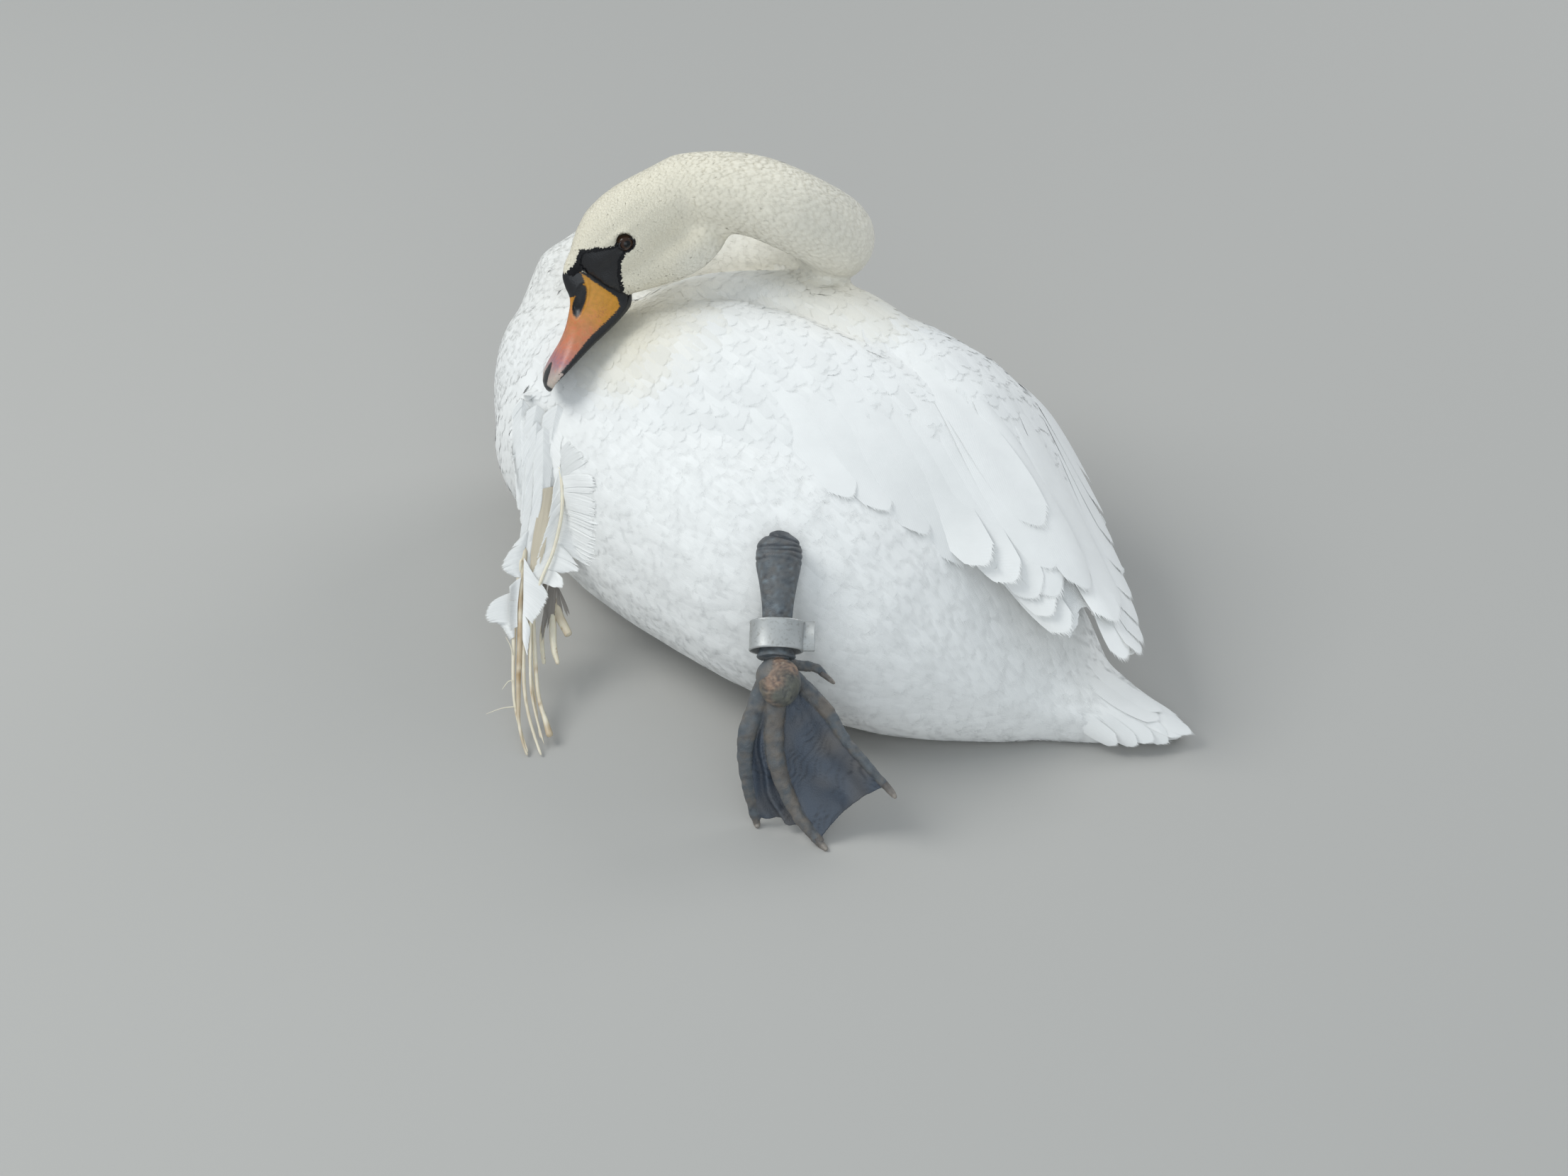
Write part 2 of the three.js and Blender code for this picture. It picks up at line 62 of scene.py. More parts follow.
def unit(v):
    """The vectors v at length one."""
    return v / np.maximum(np.linalg.norm(v, axis=-1, keepdims=True), 1e-9)


# The head's own axes: ahead along the bill, up through the crown, left out of the left eye
HEAD_AHEAD = unit(np.array([-0.136, -0.721, -0.678]))
HEAD_UP = unit(np.cross(HEAD_AHEAD, unit(np.array([0.824, -0.462, 0.326]))))
HEAD_LEFT = np.cross(HEAD_UP, HEAD_AHEAD)

# Flesh under feathers: [coat depth, feather length, half width, spacing]
COAT = {
    "head": [1.7, 6.0, 1.6, 1.5],
    "neck_upper": [2.4, 12, 2.1, 2.1],
    "neck_middle": [2.7, 14, 2.5, 2.4],
    "neck_lower": [3.2, 17, 3.4, 3.3],
    "trunk": [3.4, 22, 5.0, 4.1],
    "tail": [2.5, 34, 6.5, 6.0],
    "wing_left": [3.4, 26, 6.5, 5.6],
    "wing_right": [3.4, 26, 6.5, 5.6],
    "wing_left_hand": [1.6, 15, 3.4, 3.2],
}
FACE_COAT_SIZES = [1.2, 3.4, 0.92, 0.82]
# How much longer, wider and sparser a node's feathers are at its tail's end than at its head's
GROWTH = {"trunk": 1.5, "wing_left": 2.3, "wing_right": 2.3}
SKIN_VOXEL = 3.0
FINER_SKIN = (58, 50)          # skin nearer to the face than each of these is made finer once more
FACE_COAT_REACH = 34           # how far from the face its small feathers reach
FACE_COAT_FADE = 40            # and over how far they grow to the neck's
COAT_SHARE = 0.28              # most that the coat's depth takes of a thin part
CROWDING = 0.32                # how much closer the feathers stand along the mantle, where they would gape
CROWDED_REACH = 36


# ---- arrays and meshes --------------------------------------------------------------------------
def smooth_rows(rows, places):
    """Reads a table smoothly: a place runs from 0 at its first row to 1 at its last."""
    rows = np.asarray(rows, float)
    last = len(rows) - 1
    at = np.clip(np.asarray(places, float), 0, 1) * last
    i = np.minimum(at.astype(int), last - 1)
    f = (at - i)[:, None]
    a, b, c, d = (rows[np.clip(i + k, 0, last)] for k in (-1, 0, 1, 2))
    return b + 0.5 * f * (c - a + f * (2 * a - 5 * b + 4 * c - d + f * (3 * (b - c) + d - a)))


def new_mesh(name, points, faces):
    """A mesh from arrays: points in millimetres, faces all with the same number of corners."""
    faces = np.asarray(faces)
    mesh = bpy.data.meshes.new(name)
    mesh.vertices.add(len(points))
    mesh.vertices.foreach_set("co", (np.asarray(points) * MM).astype(np.float32).ravel())
    mesh.loops.add(faces.size)
    mesh.loops.foreach_set("vertex_index", faces.astype(np.int32).ravel())
    mesh.polygons.add(len(faces))
    mesh.polygons.foreach_set("loop_start", np.arange(len(faces), dtype=np.int32) * faces.shape[1])
    mesh.update(calc_edges=True)
    return mesh


def new_object(name, mesh, material=None, smooth=True):
    """An object in the scene that holds a mesh."""
    obj = bpy.data.objects.new(name, mesh)
    bpy.context.scene.collection.objects.link(obj)
    if material is not None:
        mesh.materials.append(material)
    if smooth:
        mesh.polygons.foreach_set("use_smooth", np.ones(len(mesh.polygons), bool))
    return obj


def finished(obj, slot, *nodes):
    """A piece that rides on the body and stands for CAD nodes; the slot argument is not used."""
    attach(obj, "root")
    if nodes:
        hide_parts(*nodes)
    return obj


def arrays_of(mesh):
    """A mesh's points in millimetres and its triangles."""
    mesh.calc_loop_triangles()
    points = np.empty(len(mesh.vertices) * 3, np.float32)
    mesh.vertices.foreach_get("co", points)
    triangles = np.empty(len(mesh.loop_triangles) * 3, np.int32)
    mesh.loop_triangles.foreach_get("vertices", triangles)
    return points.reshape(-1, 3).astype(float) / MM, triangles.reshape(-1, 3).astype(np.int64)


def merged(parts):
    """Several (points, faces) pairs as one."""
    points, faces, start = [], [], 0
    for part_points, part_faces in parts:
        points.append(part_points)
        faces.append(np.asarray(part_faces) + start)
        start += len(part_points)
    return np.concatenate(points), np.concatenate(faces)


def remeshed(points, faces, voxel):
    """Closed pieces that overlap or touch, as one even skin of triangles."""
    mesh = new_mesh("raw", points, faces)
    obj = new_object("raw", mesh)
    remesh = obj.modifiers.new("fuse", "REMESH")
    remesh.mode = "VOXEL"
    remesh.voxel_size = voxel * MM
    evaluated = obj.evaluated_get(bpy.context.evaluated_depsgraph_get())
    arrays = arrays_of(evaluated.to_mesh())
    evaluated.to_mesh_clear()
    bpy.data.objects.remove(obj)
    bpy.data.meshes.remove(mesh)
    return arrays


def edges_of(triangles):
    """Every edge of the triangles once, as a pair of vertices."""
    pairs = np.concatenate([triangles[:, [0, 1]], triangles[:, [1, 2]], triangles[:, [2, 0]]])
    return np.unique(np.sort(pairs, axis=1), axis=0)


def neighbour_mean(values, edges):
    """For each vertex, the mean of what its neighbours hold."""
    count = len(values)
    degree = np.bincount(edges.ravel(), minlength=count)
    total = np.empty_like(values)
    for k in range(values.shape[1]):
        column = values[:, k]
        total[:, k] = np.bincount(edges[:, 0], column[edges[:, 1]], count)
        total[:, k] += np.bincount(edges[:, 1], column[edges[:, 0]], count)
    return total / np.maximum(degree, 1)[:, None]


def diffused(values, edges, rounds):
    """Values spread out over the mesh, each round as far as the next vertices."""
    for _ in range(rounds):
        values = 0.5 * (values + neighbour_mean(values, edges))
    return values


def relaxed(points, edges, rounds):
    """Smooths points without shrinking them: each step in is followed by one out."""
    for _ in range(rounds):
        for step in (0.55, -0.57):
            points = points + step * (neighbour_mean(points, edges) - points)
    return points


def normals_of(points, triangles):
    """Each point's smooth normal."""
    a, b, c = (points[triangles[:, k]] for k in range(3))
    face = np.cross(b - a, c - a)
    total = np.empty_like(points)
    corners = triangles.ravel()
    for k in range(3):
        total[:, k] = np.bincount(corners, np.repeat(face[:, k], 3), len(points))
    return unit(total)


def tangential(vectors, normals):
    """The part of each vector that lies along the surface."""
    return vectors - (vectors * normals).sum(-1, keepdims=True) * normals


def bell(distance, width):
    """1 at no distance, fading to nothing beyond the width."""
    return np.exp(-((distance / width) ** 2))


def spot(x, y):
    """1 in the middle, fading to nothing where x or y passes 1."""
    return bell(np.hypot(x, y), 1)


def noisy(points, scale, shift=0.0):
    """Smooth noise from -1 to 1 at each point, with features 1/scale apart."""
    return np.array([noise.noise(place) for place in (points * scale + shift).tolist()])


def lumps(points, scale):
    """Rounded cells: 0 in their middles, near 1 in the cracks between them."""
    return np.array([noise.voronoi(place)[0][0] for place in (points * scale).tolist()])


def blend_colors(first, second, share):
    """First where the share is 0, second where it is 1."""
    return first + (second - first) * np.clip(share, 0, 1)[:, None]


def color_attribute(mesh, colors):
    """Per-vertex colour, read by the materials as Tint."""
    attribute = mesh.color_attributes.new("Tint", "FLOAT_COLOR", "POINT")
    rgba = np.concatenate([colors, np.ones((len(colors), 1))], axis=1)
    attribute.data.foreach_set("color", rgba.astype(np.float32).ravel())


def uv_map(mesh, name, uv):
    """A UV map from one (u, v) pair for each loop."""
    layer = mesh.uv_layers.new(name=name)
    layer.uv.foreach_set("vector", np.asarray(uv, np.float32).ravel())


class Surface:
    """A triangle mesh that can be asked for its nearest point."""

    def __init__(self, points, triangles):
        self.points = points
        self.triangles = triangles
        self.normals = normals_of(points, triangles)
        self.tree = BVHTree.FromPolygons(points.tolist(), triangles.tolist())

    def nearest(self, targets):
        """Nearest point, its smooth normal and its triangle, for each target."""
        hits = [self.tree.find_nearest(target) for target in targets.tolist()]
        places = np.array([hit[0] for hit in hits])
        faces = np.array([hit[2] for hit in hits])
        return places, unit(self.normals[self.triangles[faces]].mean(1)), faces

    def read(self, values, targets):
        """Each target's values, blended from the corners of its nearest triangle."""
        places, _, faces = self.nearest(targets)
        a, b, c = (self.points[self.triangles[faces, k]] for k in range(3))
        areas = [
            np.linalg.norm(np.cross(q - places, r - places), axis=1)
            for q, r in ((b, c), (c, a), (a, b))
        ]
        weights = np.stack(areas, 1) + 1e-9
        weights /= weights.sum(1, keepdims=True)
        return (values[self.triangles[faces]] * weights[:, :, None]).sum(1)


# ---- the skin -----------------------------------------------------------------------------------
def in_head(ahead, up, left=0.0):
    """Points for places ahead, up and left of the eyes' middle: numbers or arrays of them."""
    ahead, up, left = (np.asarray(place)[..., None] for place in (ahead, up, left))
    return HEAD_ORIGIN + ahead * HEAD_AHEAD + up * HEAD_UP + left * HEAD_LEFT


def head_coordinates(points):
    """Ahead, up and left of the eyes' middle, for each point."""
    offset = points - HEAD_ORIGIN
    return offset @ HEAD_AHEAD, offset @ HEAD_UP, offset @ HEAD_LEFT


def centre_line(node, slices=9):
    """The middle of a CAD node at steps along X."""
    points, _ = arrays_of(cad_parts[node].data)
    edges = np.linspace(points[:, 0].min(), points[:, 0].max(), slices + 1)
    which = np.clip(np.searchsorted(edges, points[:, 0]) - 1, 0, slices - 1)
    return np.array([points[which == k].mean(0) for k in range(slices) if (which == k).any()])


def spine_lines():
    """For each flesh node, a line through its middle, from the head's end to the tail's."""
    head = [in_head(42, -11), in_head(18, -7), in_head(-22, -12), in_head(-42, -20)]
    neck = smooth_rows(NECK_SPINE, np.linspace(1, 0, 40))
    lines = {"head": np.concatenate([head, neck[:3]])}
    for node in ("neck_upper", "neck_middle", "neck_lower"):
        lines[node] = np.concatenate([head[-1:], neck])
    for node in ("trunk", "tail", "wing_left", "wing_right"):
        lines[node] = centre_line(node)
    top, bottom = (np.array(corner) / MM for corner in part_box("wing_left_hand"))
    lines["wing_left_hand"] = np.array([[-140, -160, bottom[2]], [-120, -200, top[2]]])
    return lines


def along_line(line, points):
    """For each point: its place along a line, its offset from it and the line's direction there."""
    starts, steps = line[:-1], np.diff(line, axis=0)
    lengths = np.linalg.norm(steps, axis=1)
    begun = np.concatenate([[0], np.cumsum(lengths)])
    best = np.full(len(points), np.inf)
    place = np.zeros(len(points))
    offset = np.zeros_like(points)
    direction = np.zeros_like(points)
    for k, (start, step) in enumerate(zip(starts, steps)):
        f = np.clip((points - start) @ step / lengths[k] ** 2, 0, 1)
        away = points - (start + f[:, None] * step)
        distance = np.linalg.norm(away, axis=1)
        closer = distance < best
        best[closer] = distance[closer]
        place[closer] = begun[k] + f[closer] * lengths[k]
        offset[closer] = away[closer]
        direction[closer] = step / lengths[k]
    return place, offset, direction


# Feathers of the trunk point away from the neck's base; those of the wings and tail point to a place
NECK_BASE = np.array([-215.0, -22.0, 180.0])
MEET = {"wing_left": [480, -95, 25], "wing_right": [520, -75, 30], "tail": [470, 24, 2]}


def lie_of(node, points, lines):
    """Which way the feathers of a node point."""
    if node == "trunk":
        return unit(points - NECK_BASE) + [0.9, 0, 0]
    if node in MEET:
        return unit(np.array(MEET[node]) - points)
    return along_line(lines[node], points)[2]


def refined(points, triangles, chosen):
    """Splits every edge between two chosen points, and so each triangle of chosen points in four."""
    edges = edges_of(triangles)
    split = edges[chosen[edges].all(1)]
    keys = split[:, 0] * len(points) + split[:, 1]
    middle = np.arange(len(split)) + len(points)

    def between(a, b):
        key = np.minimum(a, b) * len(points) + np.maximum(a, b)
        at = np.clip(np.searchsorted(keys, key), 0, len(keys) - 1)
        return np.where(keys[at] == key, middle[at], -1)

    a, b, c = triangles.T
    ab, bc, ca = between(a, b), between(b, c), between(c, a)
    marks = (ab >= 0).astype(int) + (bc >= 0) + (ca >= 0)
    made = [triangles[marks == 0]]
    full = marks == 3
    for corner in ((a, ab, ca), (b, bc, ab), (c, ca, bc), (ab, bc, ca)):
        made.append(np.stack([each[full] for each in corner], 1))
    for first, second, third, cut in ((a, b, c, ab), (b, c, a, bc), (c, a, b, ca)):
        half = (marks == 1) & (cut >= 0)
        made.append(np.stack([first[half], cut[half], third[half]], 1))
        made.append(np.stack([cut[half], second[half], third[half]], 1))
    return np.concatenate([points, points[split].mean(1)]), np.concatenate(made)


def thickness(surface):
    """How far each point of a closed surface is from the other side, straight through."""
    depth = np.full(len(surface.points), 200.0)
    starts = surface.points - 0.3 * surface.normals
    for k, (start, normal) in enumerate(zip(starts.tolist(), surface.normals.tolist())):
        hit = surface.tree.ray_cast(start, [-c for c in normal])
        if hit[0] is not None:
            depth[k] = hit[3]
    return depth


def coat_sizes(nodes, owner, points, edges):
    """The coat's depth and its feathers' sizes at each point, blended from node to node."""
    sizes = np.array([COAT[node] for node in nodes])[owner]
    for k, node in enumerate(nodes):
        mine = owner == k
        along = (points[mine, 0] - points[mine, 0].min()) / np.ptp(points[mine, 0])
        sizes[mine, 1:] *= 1 + (GROWTH.get(node, 1) - 1) * along[:, None] ** 1.3
    sizes = diffused(sizes, edges, 60)
    reach = np.linalg.norm(points[:, None] - MANTLE[None, :, :3], axis=2).min(1)
    sizes[:, 3] *= 1 - CROWDING * np.clip(1.6 - reach / CROWDED_REACH, 0, 1)
    fine = np.clip((near_face(points) - FACE_COAT_REACH) / FACE_COAT_FADE, 0, 1)[:, None] ** 1.5
    return np.array(FACE_COAT_SIZES) * (1 - fine) + sizes * fine


# How far the hand's skin reaches along HANG_ACROSS at its front edge: [height, reach]
HAND_EDGE = np.array([
    [60, -216], [110, -216], [121, -217], [134, -221], [150, -224], [170, -230], [186, -244],
])


def narrowed_hand(points, hand):
    """Draws in the front edge of the hanging hand, so that its coat ends at the hand's outline."""
    limit = np.interp(points[:, 2], *HAND_EDGE.T)
    over = np.where(hand, np.maximum(limit - points @ HANG_ACROSS, 0), 0)
    return points + np.outer(0.9 * over, HANG_ACROSS)


# The feathered ridge that runs from the forehead on to the bill's knob: [ahead, up, radius]
RIDGE = np.array([[22, 13, 9.5], [31, 13.5, 9.4], [38, 13.6, 8.8], [44, 12.7, 7.5], [50, 11.2, 6.2]])
# Feathers that fill the hollow between the wings, and the bend between the head and the neck:
# [x, y, z, half width, radius above and below]
MANTLE = np.array([
    [-120, -54, 214, 26, 26], [-96, -43, 224, 32, 31], [-76, -20, 229, 36, 33], [-45, 4, 231, 42, 33],
    [-10, 24, 229, 46, 34], [30, 33, 225, 46, 33], [80, 33, 213, 40, 30], [124, 30, 196, 28, 24],
])
THROAT = np.array([
    [-104, -94, 283, 9, 11], [-95, -80, 289, 11, 14], [-86, -68, 294, 12, 16], [-77, -56, 299, 12.5, 17],
    [-70, -43, 304, 12.5, 17], [-66, -33, 313, 12.5, 17], [-66, -20, 325, 12.5, 16],
])
SWELLING_STEPS = (24, 24)      # rings along the path, and points round each


def swelling(rows, up):
    """A rounded solid along a path, closed at both ends."""
    t = np.linspace(0, 1, SWELLING_STEPS[0])
    rows = smooth_rows(rows, t)
    blunt = np.sqrt(np.clip((1 - np.abs(2 * t - 1)) * 8, 0.04, 1))
    half, deep = rows[:, 3] * blunt, rows[:, 4] * blunt
    return limb(rows[:, :3], half, deep, deep, up, *SWELLING_STEPS)[:2]


def ridge():
    """The feathered ridge on the forehead, as a rounded solid."""
    rows = np.array([[*in_head(ahead, up), 0.9 * radius, radius] for ahead, up, radius in RIDGE])
    return swelling(rows, HEAD_UP)


def fused_skin(raw):
    """The nodes' outlines and the swellings as one smooth skin, finer towards the face."""
    fills = [ridge(), swelling(MANTLE, [0, 0, 1]), swelling(THROAT, HEAD_UP)]
    points, triangles = remeshed(*merged(raw + fills), SKIN_VOXEL)
    points = relaxed(points, edges_of(triangles), 14)
    for reach in FINER_SKIN:
        points, triangles = refined(points, triangles, near_face(points) < reach)
    edges = edges_of(triangles)
    return relaxed(points, edges, 3), triangles, edges


def flesh():
    """The skin under the plumage, with what each of its points needs to grow feathers."""
    nodes = list(COAT)
    raw = [arrays_of(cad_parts[node].data) for node in nodes]
    points, triangles, edges = fused_skin(raw)
    cad = Surface(*merged(raw))
    owner_of_face = np.repeat(np.arange(len(nodes)), [len(faces) for _, faces in raw])
    owner = owner_of_face[cad.nearest(points)[2]]
    lines = spine_lines()
    lies = np.zeros_like(points)
    for k, node in enumerate(nodes):
        mine = owner == k
        lies[mine] = unit(lie_of(node, points[mine], lines))
    sizes = coat_sizes(nodes, owner, points, edges)
    outside = Surface(points, triangles)
    sizes[:, 0] = np.minimum(sizes[:, 0], COAT_SHARE * thickness(outside))
    sizes[:, :1] = diffused(sizes[:, :1], edges, 12)
    points = relaxed(points - outside.normals * sizes[:, :1], edges, 4)
    points = narrowed_hand(points, owner == nodes.index("wing_left_hand"))
    points = sculpted_face(points)
    surface = Surface(points, triangles)
    lies = unit(diffused(lies, edges, 30))
    facing = np.abs((lies * surface.normals).sum(1))
    return {
        "surface": surface, "owner": owner, "nodes": nodes, "lines": lines,
        "lies": unit(tangential(lies, surface.normals)), "facing": facing, "sizes": sizes,
    }


def unwrapped(skin):
    """An unwrap of the skin: each node's stretch is rolled out round its line, in a strip of its own."""
    surface = skin["surface"]
    triangles = surface.triangles
    count = len(skin["nodes"])
    uv = np.zeros((len(triangles), 3, 2))
    face_owner = skin["owner"][triangles[:, 0]]
    for k, node in enumerate(skin["nodes"]):
        faces = np.flatnonzero(face_owner == k)
        corners = surface.points[triangles[faces]].reshape(-1, 3)
        place, offset, direction = along_line(skin["lines"][node], corners)
        side = unit(np.cross(direction, [0, 0, 1]))
        over = np.cross(side, direction)
        turn = np.arctan2((offset * side).sum(1), (offset * over).sum(1)).reshape(-1, 3)
        turn = turn[:, :1] + (turn - turn[:, :1] + np.pi) % (2 * np.pi) - np.pi
        place = place.reshape(-1, 3)
        spread = (place - place.min()) / max(np.ptp(place), 1e-6)
        uv[faces, :, 0] = 0.02 + 0.96 * spread
        uv[faces, :, 1] = (k + 0.5 + 0.42 * np.clip(turn / np.pi, -1.1, 1.1)) / count
    return uv


# ---- the face -----------------------------------------------------------------------------------
FACE_MIDDLE = (22, -9)         # of the black mask, ahead and up
FACE_OUT = 14                  # and out to either side
MASK_REACH = 75                # no part of the mask is further from its middle
EYE_RADIUS = 7.2
EYE_OUT = 21.5
EYE_AT = (0.8, -1.7)           # ahead and up of the head's origin
EYE_OPENING = (4.9, 4.0)       # half length and half height between the lids
EYE_TILT = 0.3
LID_HALF = 4.7                 # from the eye's middle to where the lids leave the ball
LID_HEIGHT = 0.75
FACE_REACH = 60                # only points nearer than this to the mask's middle are sculpted
# Swellings and hollows of the face: [height, ahead, up, rise of its line, reach ahead, reach up]
FACE_SWELLINGS = [
    [1.3, 3, 7.5, 0.35, 12, 3.2], [-1.6, 24, -3, 0, 11, 7], [1.2, 4, -17, 0, 12, 9],
]
# The black mask's outline on the side of the head: [ahead, up]
MASK = np.array([
    [-5.2, -2.4], [-4.0, 1.6], [-0.2, 3.9], [4.9, 3.8], [10.3, 5.6], [13.4, 8.7], [20.1, 14.7],
    [26.5, 20.2], [30, 24], [34, 40], [80, 40], [80, -60], [46, -52], [40.4, -41], [35.4, -32.2],
    [32, -23.8], [22.4, -12.5], [15.8, -7.4], [9.4, -5.4], [5.8, -7.4], [1.4, -8.2], [-3.2, -6.4],
])
# The white feathers' ridge between the two sides of the mask: [ahead, half width]
WHITE_RIDGE = np.array([[28, 10], [34, 7.5], [40, 6], [46, 3.6], [50, -1], [60, -20]])


def near_face(points):
    """How far each point is from the mask's middle, on either side of the head."""
    ahead, up, left = head_coordinates(points)
    return np.hypot(np.hypot(ahead - FACE_MIDDLE[0], up - FACE_MIDDLE[1]), np.abs(left) - FACE_OUT)


def inside_outline(outline, x, y):
    """Distance in from a closed outline; outside it, the distance is negative."""
    best = np.full(len(x), np.inf)
    inside = np.zeros(len(x), bool)
    for (x0, y0), (x1, y1) in zip(outline, np.roll(outline, -1, axis=0)):
        run, rise = x1 - x0, y1 - y0
        f = np.clip(((x - x0) * run + (y - y0) * rise) / (run ** 2 + rise ** 2), 0, 1)
        best = np.minimum(best, np.hypot(x - x0 - f * run, y - y0 - f * rise))
        crosses = (y0 > y) != (y1 > y)
        with np.errstate(divide="ignore", invalid="ignore"):
            inside ^= crosses & (x < x0 + (y - y0) * run / rise)
    return np.where(inside, best, -best)


def mask_depth(points):
    """Distance in from the mask's edge, for points on the head."""
    ahead, up, left = head_coordinates(points)
    white = np.interp(ahead, *WHITE_RIDGE.T)
    depth = np.minimum(inside_outline(MASK, ahead, up), np.where(up > 5, np.abs(left) - white, 50))
    return np.where(near_face(points) < MASK_REACH, depth, -50.0)


def eye_reach(points):
    """Distance from the eye's middle, as 1 at the edge of the opening."""
    ahead, up, left = head_coordinates(points)
    ahead, up = ahead - EYE_AT[0], up - EYE_AT[1]
    reach = np.hypot(ahead / EYE_OPENING[0], (up - EYE_TILT * ahead) / EYE_OPENING[1])
    return np.where((np.abs(left) > 12) & (near_face(points) < FACE_REACH), reach, 99.0)


def opened_eyes(reach, out):
    """How far out the skin stands round the eyes: a ridge for the lids, and a pit for the ball."""
    rim = EYE_OUT + math.sqrt(EYE_RADIUS ** 2 - LID_HALF ** 2)
    around = np.clip((reach - 1) / 0.9, 0, 1)
    lids = rim + LID_HEIGHT * bell(reach - 1.22, 0.26) - 0.3 * bell(reach - 1.75, 0.3)
    out = np.where(reach < 2.2, lids + (out - lids) * around ** 2 * (3 - 2 * around), out)
    return np.where(reach < 1.0, rim - 9 * np.clip((1.0 - reach) / 0.16, 0, 1), out)


def sculpted_face(points):
    """Opens the eyes, raises their lids and brow, and sinks the bare skin before them."""
    ahead, up, left = head_coordinates(points)
    reach = eye_reach(points)
    side = np.sign(left)
    out = opened_eyes(reach, np.abs(left))
    raised = 0
    for height, x, y, slope, wide, tall in FACE_SWELLINGS:
        raised = raised + height * spot((ahead - x) / wide, (up - y - slope * ahead) / tall)
    close = near_face(points) < FACE_REACH
    out = out + np.where(close & (reach > 1.3), raised * np.clip(out / 12, 0, 1), 0)
    forehead = 0.6 * spot((ahead - 38) / 10, left / 10) * np.clip((up - 4) / 8, 0, 1)
    points = points + np.where(close, forehead, 0)[:, None] * HEAD_UP
    return points + ((out * side) - left)[:, None] * HEAD_LEFT


# ---- the bill -----------------------------------------------------------------------------------
# Upper bill: [ahead, culmen's height, edge's height, half width, roundness of the section]
UPPER_BILL = [
    [28, 12, -28, 8, 1.9], [34, 16, -32.5, 11.6, 1.8], [40, 18, -34.6, 14, 1.7], [47, 14.8, -35, 14.4, 1.62],
    [55, 8, -34.4, 14.4, 1.6], [64, 0, -32.4, 14.6, 1.65], [74, -5.4, -29.8, 15.2, 1.8],
    [84, -9.6, -27.2, 16, 1.95], [94, -12.4, -25, 17, 2.1], [104, -14, -23, 17.9, 2.25],
    [114, -15.6, -21.6, 18.3, 2.3], [122, -17.6, -21.6, 16.8, 2.3], [127.5, -20, -23.4, 12.4, 2.2],
    [130.6, -22.4, -25.4, 7, 2], [131.8, -24.6, -26.2, 1.5, 2],
]
# Lower bill: [ahead, edge's height, keel's height, half width]
LOWER_BILL = [
    [28, -32, -36, 7], [34, -34.4, -40, 10.6], [40, -35.4, -42, 12.8], [50, -35, -41, 13.4],
    [64, -33, -38, 13.6], [80, -29, -34, 14.2], [100, -24.6, -30, 15.8], [114, -22.4, -27.4, 15.8],
    [123, -23, -26, 12], [127, -24, -25.6, 5],
]
KNOB = (51, 12, 12, 9, 10)     # ahead, up and the reach each way of the knob before the forehead
KNOB_RISE = 5.2
NAIL = (126, 7, 7.5, 0.9)      # of its middle: ahead, the reach ahead and across, and the height
NOSTRIL = (58.5, -3.4, 13.5, 4.0, -0.37)   # ahead, up, half length, half height, tilt in radians
TOOTH = (2.05, 0.9)            # pitch and depth of the saw edge
TOOTHED = (60, 124)            # the stretch of the bill that has it
# The black band along the upper bill's edge: [ahead, width]
BAND = np.array([
    [38, 4.5], [52, 4.2], [64, 4.8], [78, 4.4], [90, 3.0], [102, 2.0], [114, 1.9], [132, 2.4],
])
# Where the black of the knob ends and the orange begins: [ahead, up]
KNOB_EDGE = np.array([
    [36, 30], [40.4, 7.4], [44, 3.2], [50, 0.6], [56, 0.9], [60.5, 2.6], [63, 8], [66, 30],
])
BILL_STEPS = (230, 150)        # rings along the upper bill, and points round each
LOWER_BILL_STEPS = (70, 36)
EYE_STEPS = (28, 48)
# Colours along the bill, from its base: [ahead, red, green, blue]
BILL_COLORS = [
    [36, 0.60, 0.27, 0.012], [60, 0.61, 0.26, 0.020], [72, 0.59, 0.23, 0.070],
    [86, 0.57, 0.22, 0.105], [98, 0.54, 0.21, 0.15], [108, 0.42, 0.19, 0.21],
    [117, 0.44, 0.31, 0.30], [132, 0.46, 0.40, 0.36],
]
HORN_BLACK = np.array([0.012, 0.012, 0.014])
HORN_WARM = np.array([0.60, 0.16, 0.07])      # blotches on the bill's middle
HORN_PALE = np.array([0.56, 0.50, 0.42])      # the edge before the nail
HORN_FLECK = np.array([0.40, 0.10, 0.03])     # flecks below the nostril
IRIS = np.array([0.035, 0.014, 0.006])
PUPIL = 0.004


def table_at(table, places):
    """A table's rows at places given in its own first column."""
    table = np.asarray(table, float)
    rows = np.interp(places, table[:, 0], np.arange(len(table)))
    return smooth_rows(table, rows / (len(table) - 1))


def ring_faces(rings, around):
    """Faces between rings of points, and one fan at each end: as triangles."""
    r, k = np.meshgrid(np.arange(rings - 1), np.arange(around), indexing="ij")
    a = r * around + k
    b = r * around + (k + 1) % around
    sides = np.stack([a, b, b + around, a, b + around, a + around], -1).reshape(-1, 3)
    k = np.arange(1, around - 1)
    start = np.stack([k * 0, k + 1, k], 1)
    end = np.stack([k * 0, k, k + 1], 1) + (rings - 1) * around
    return np.concatenate([sides, start, end])


def nostril_reach(ahead, up):
    """0 in the nostril's middle, 1 at its edge; and how far along it the place is."""
    x, y = ahead - NOSTRIL[0], up - NOSTRIL[1]
    c, d = math.cos(NOSTRIL[4]), math.sin(NOSTRIL[4])
    along, across = (x * c + y * d) / NOSTRIL[2], (y * c - x * d) / NOSTRIL[3]
    return np.hypot(along, across), along


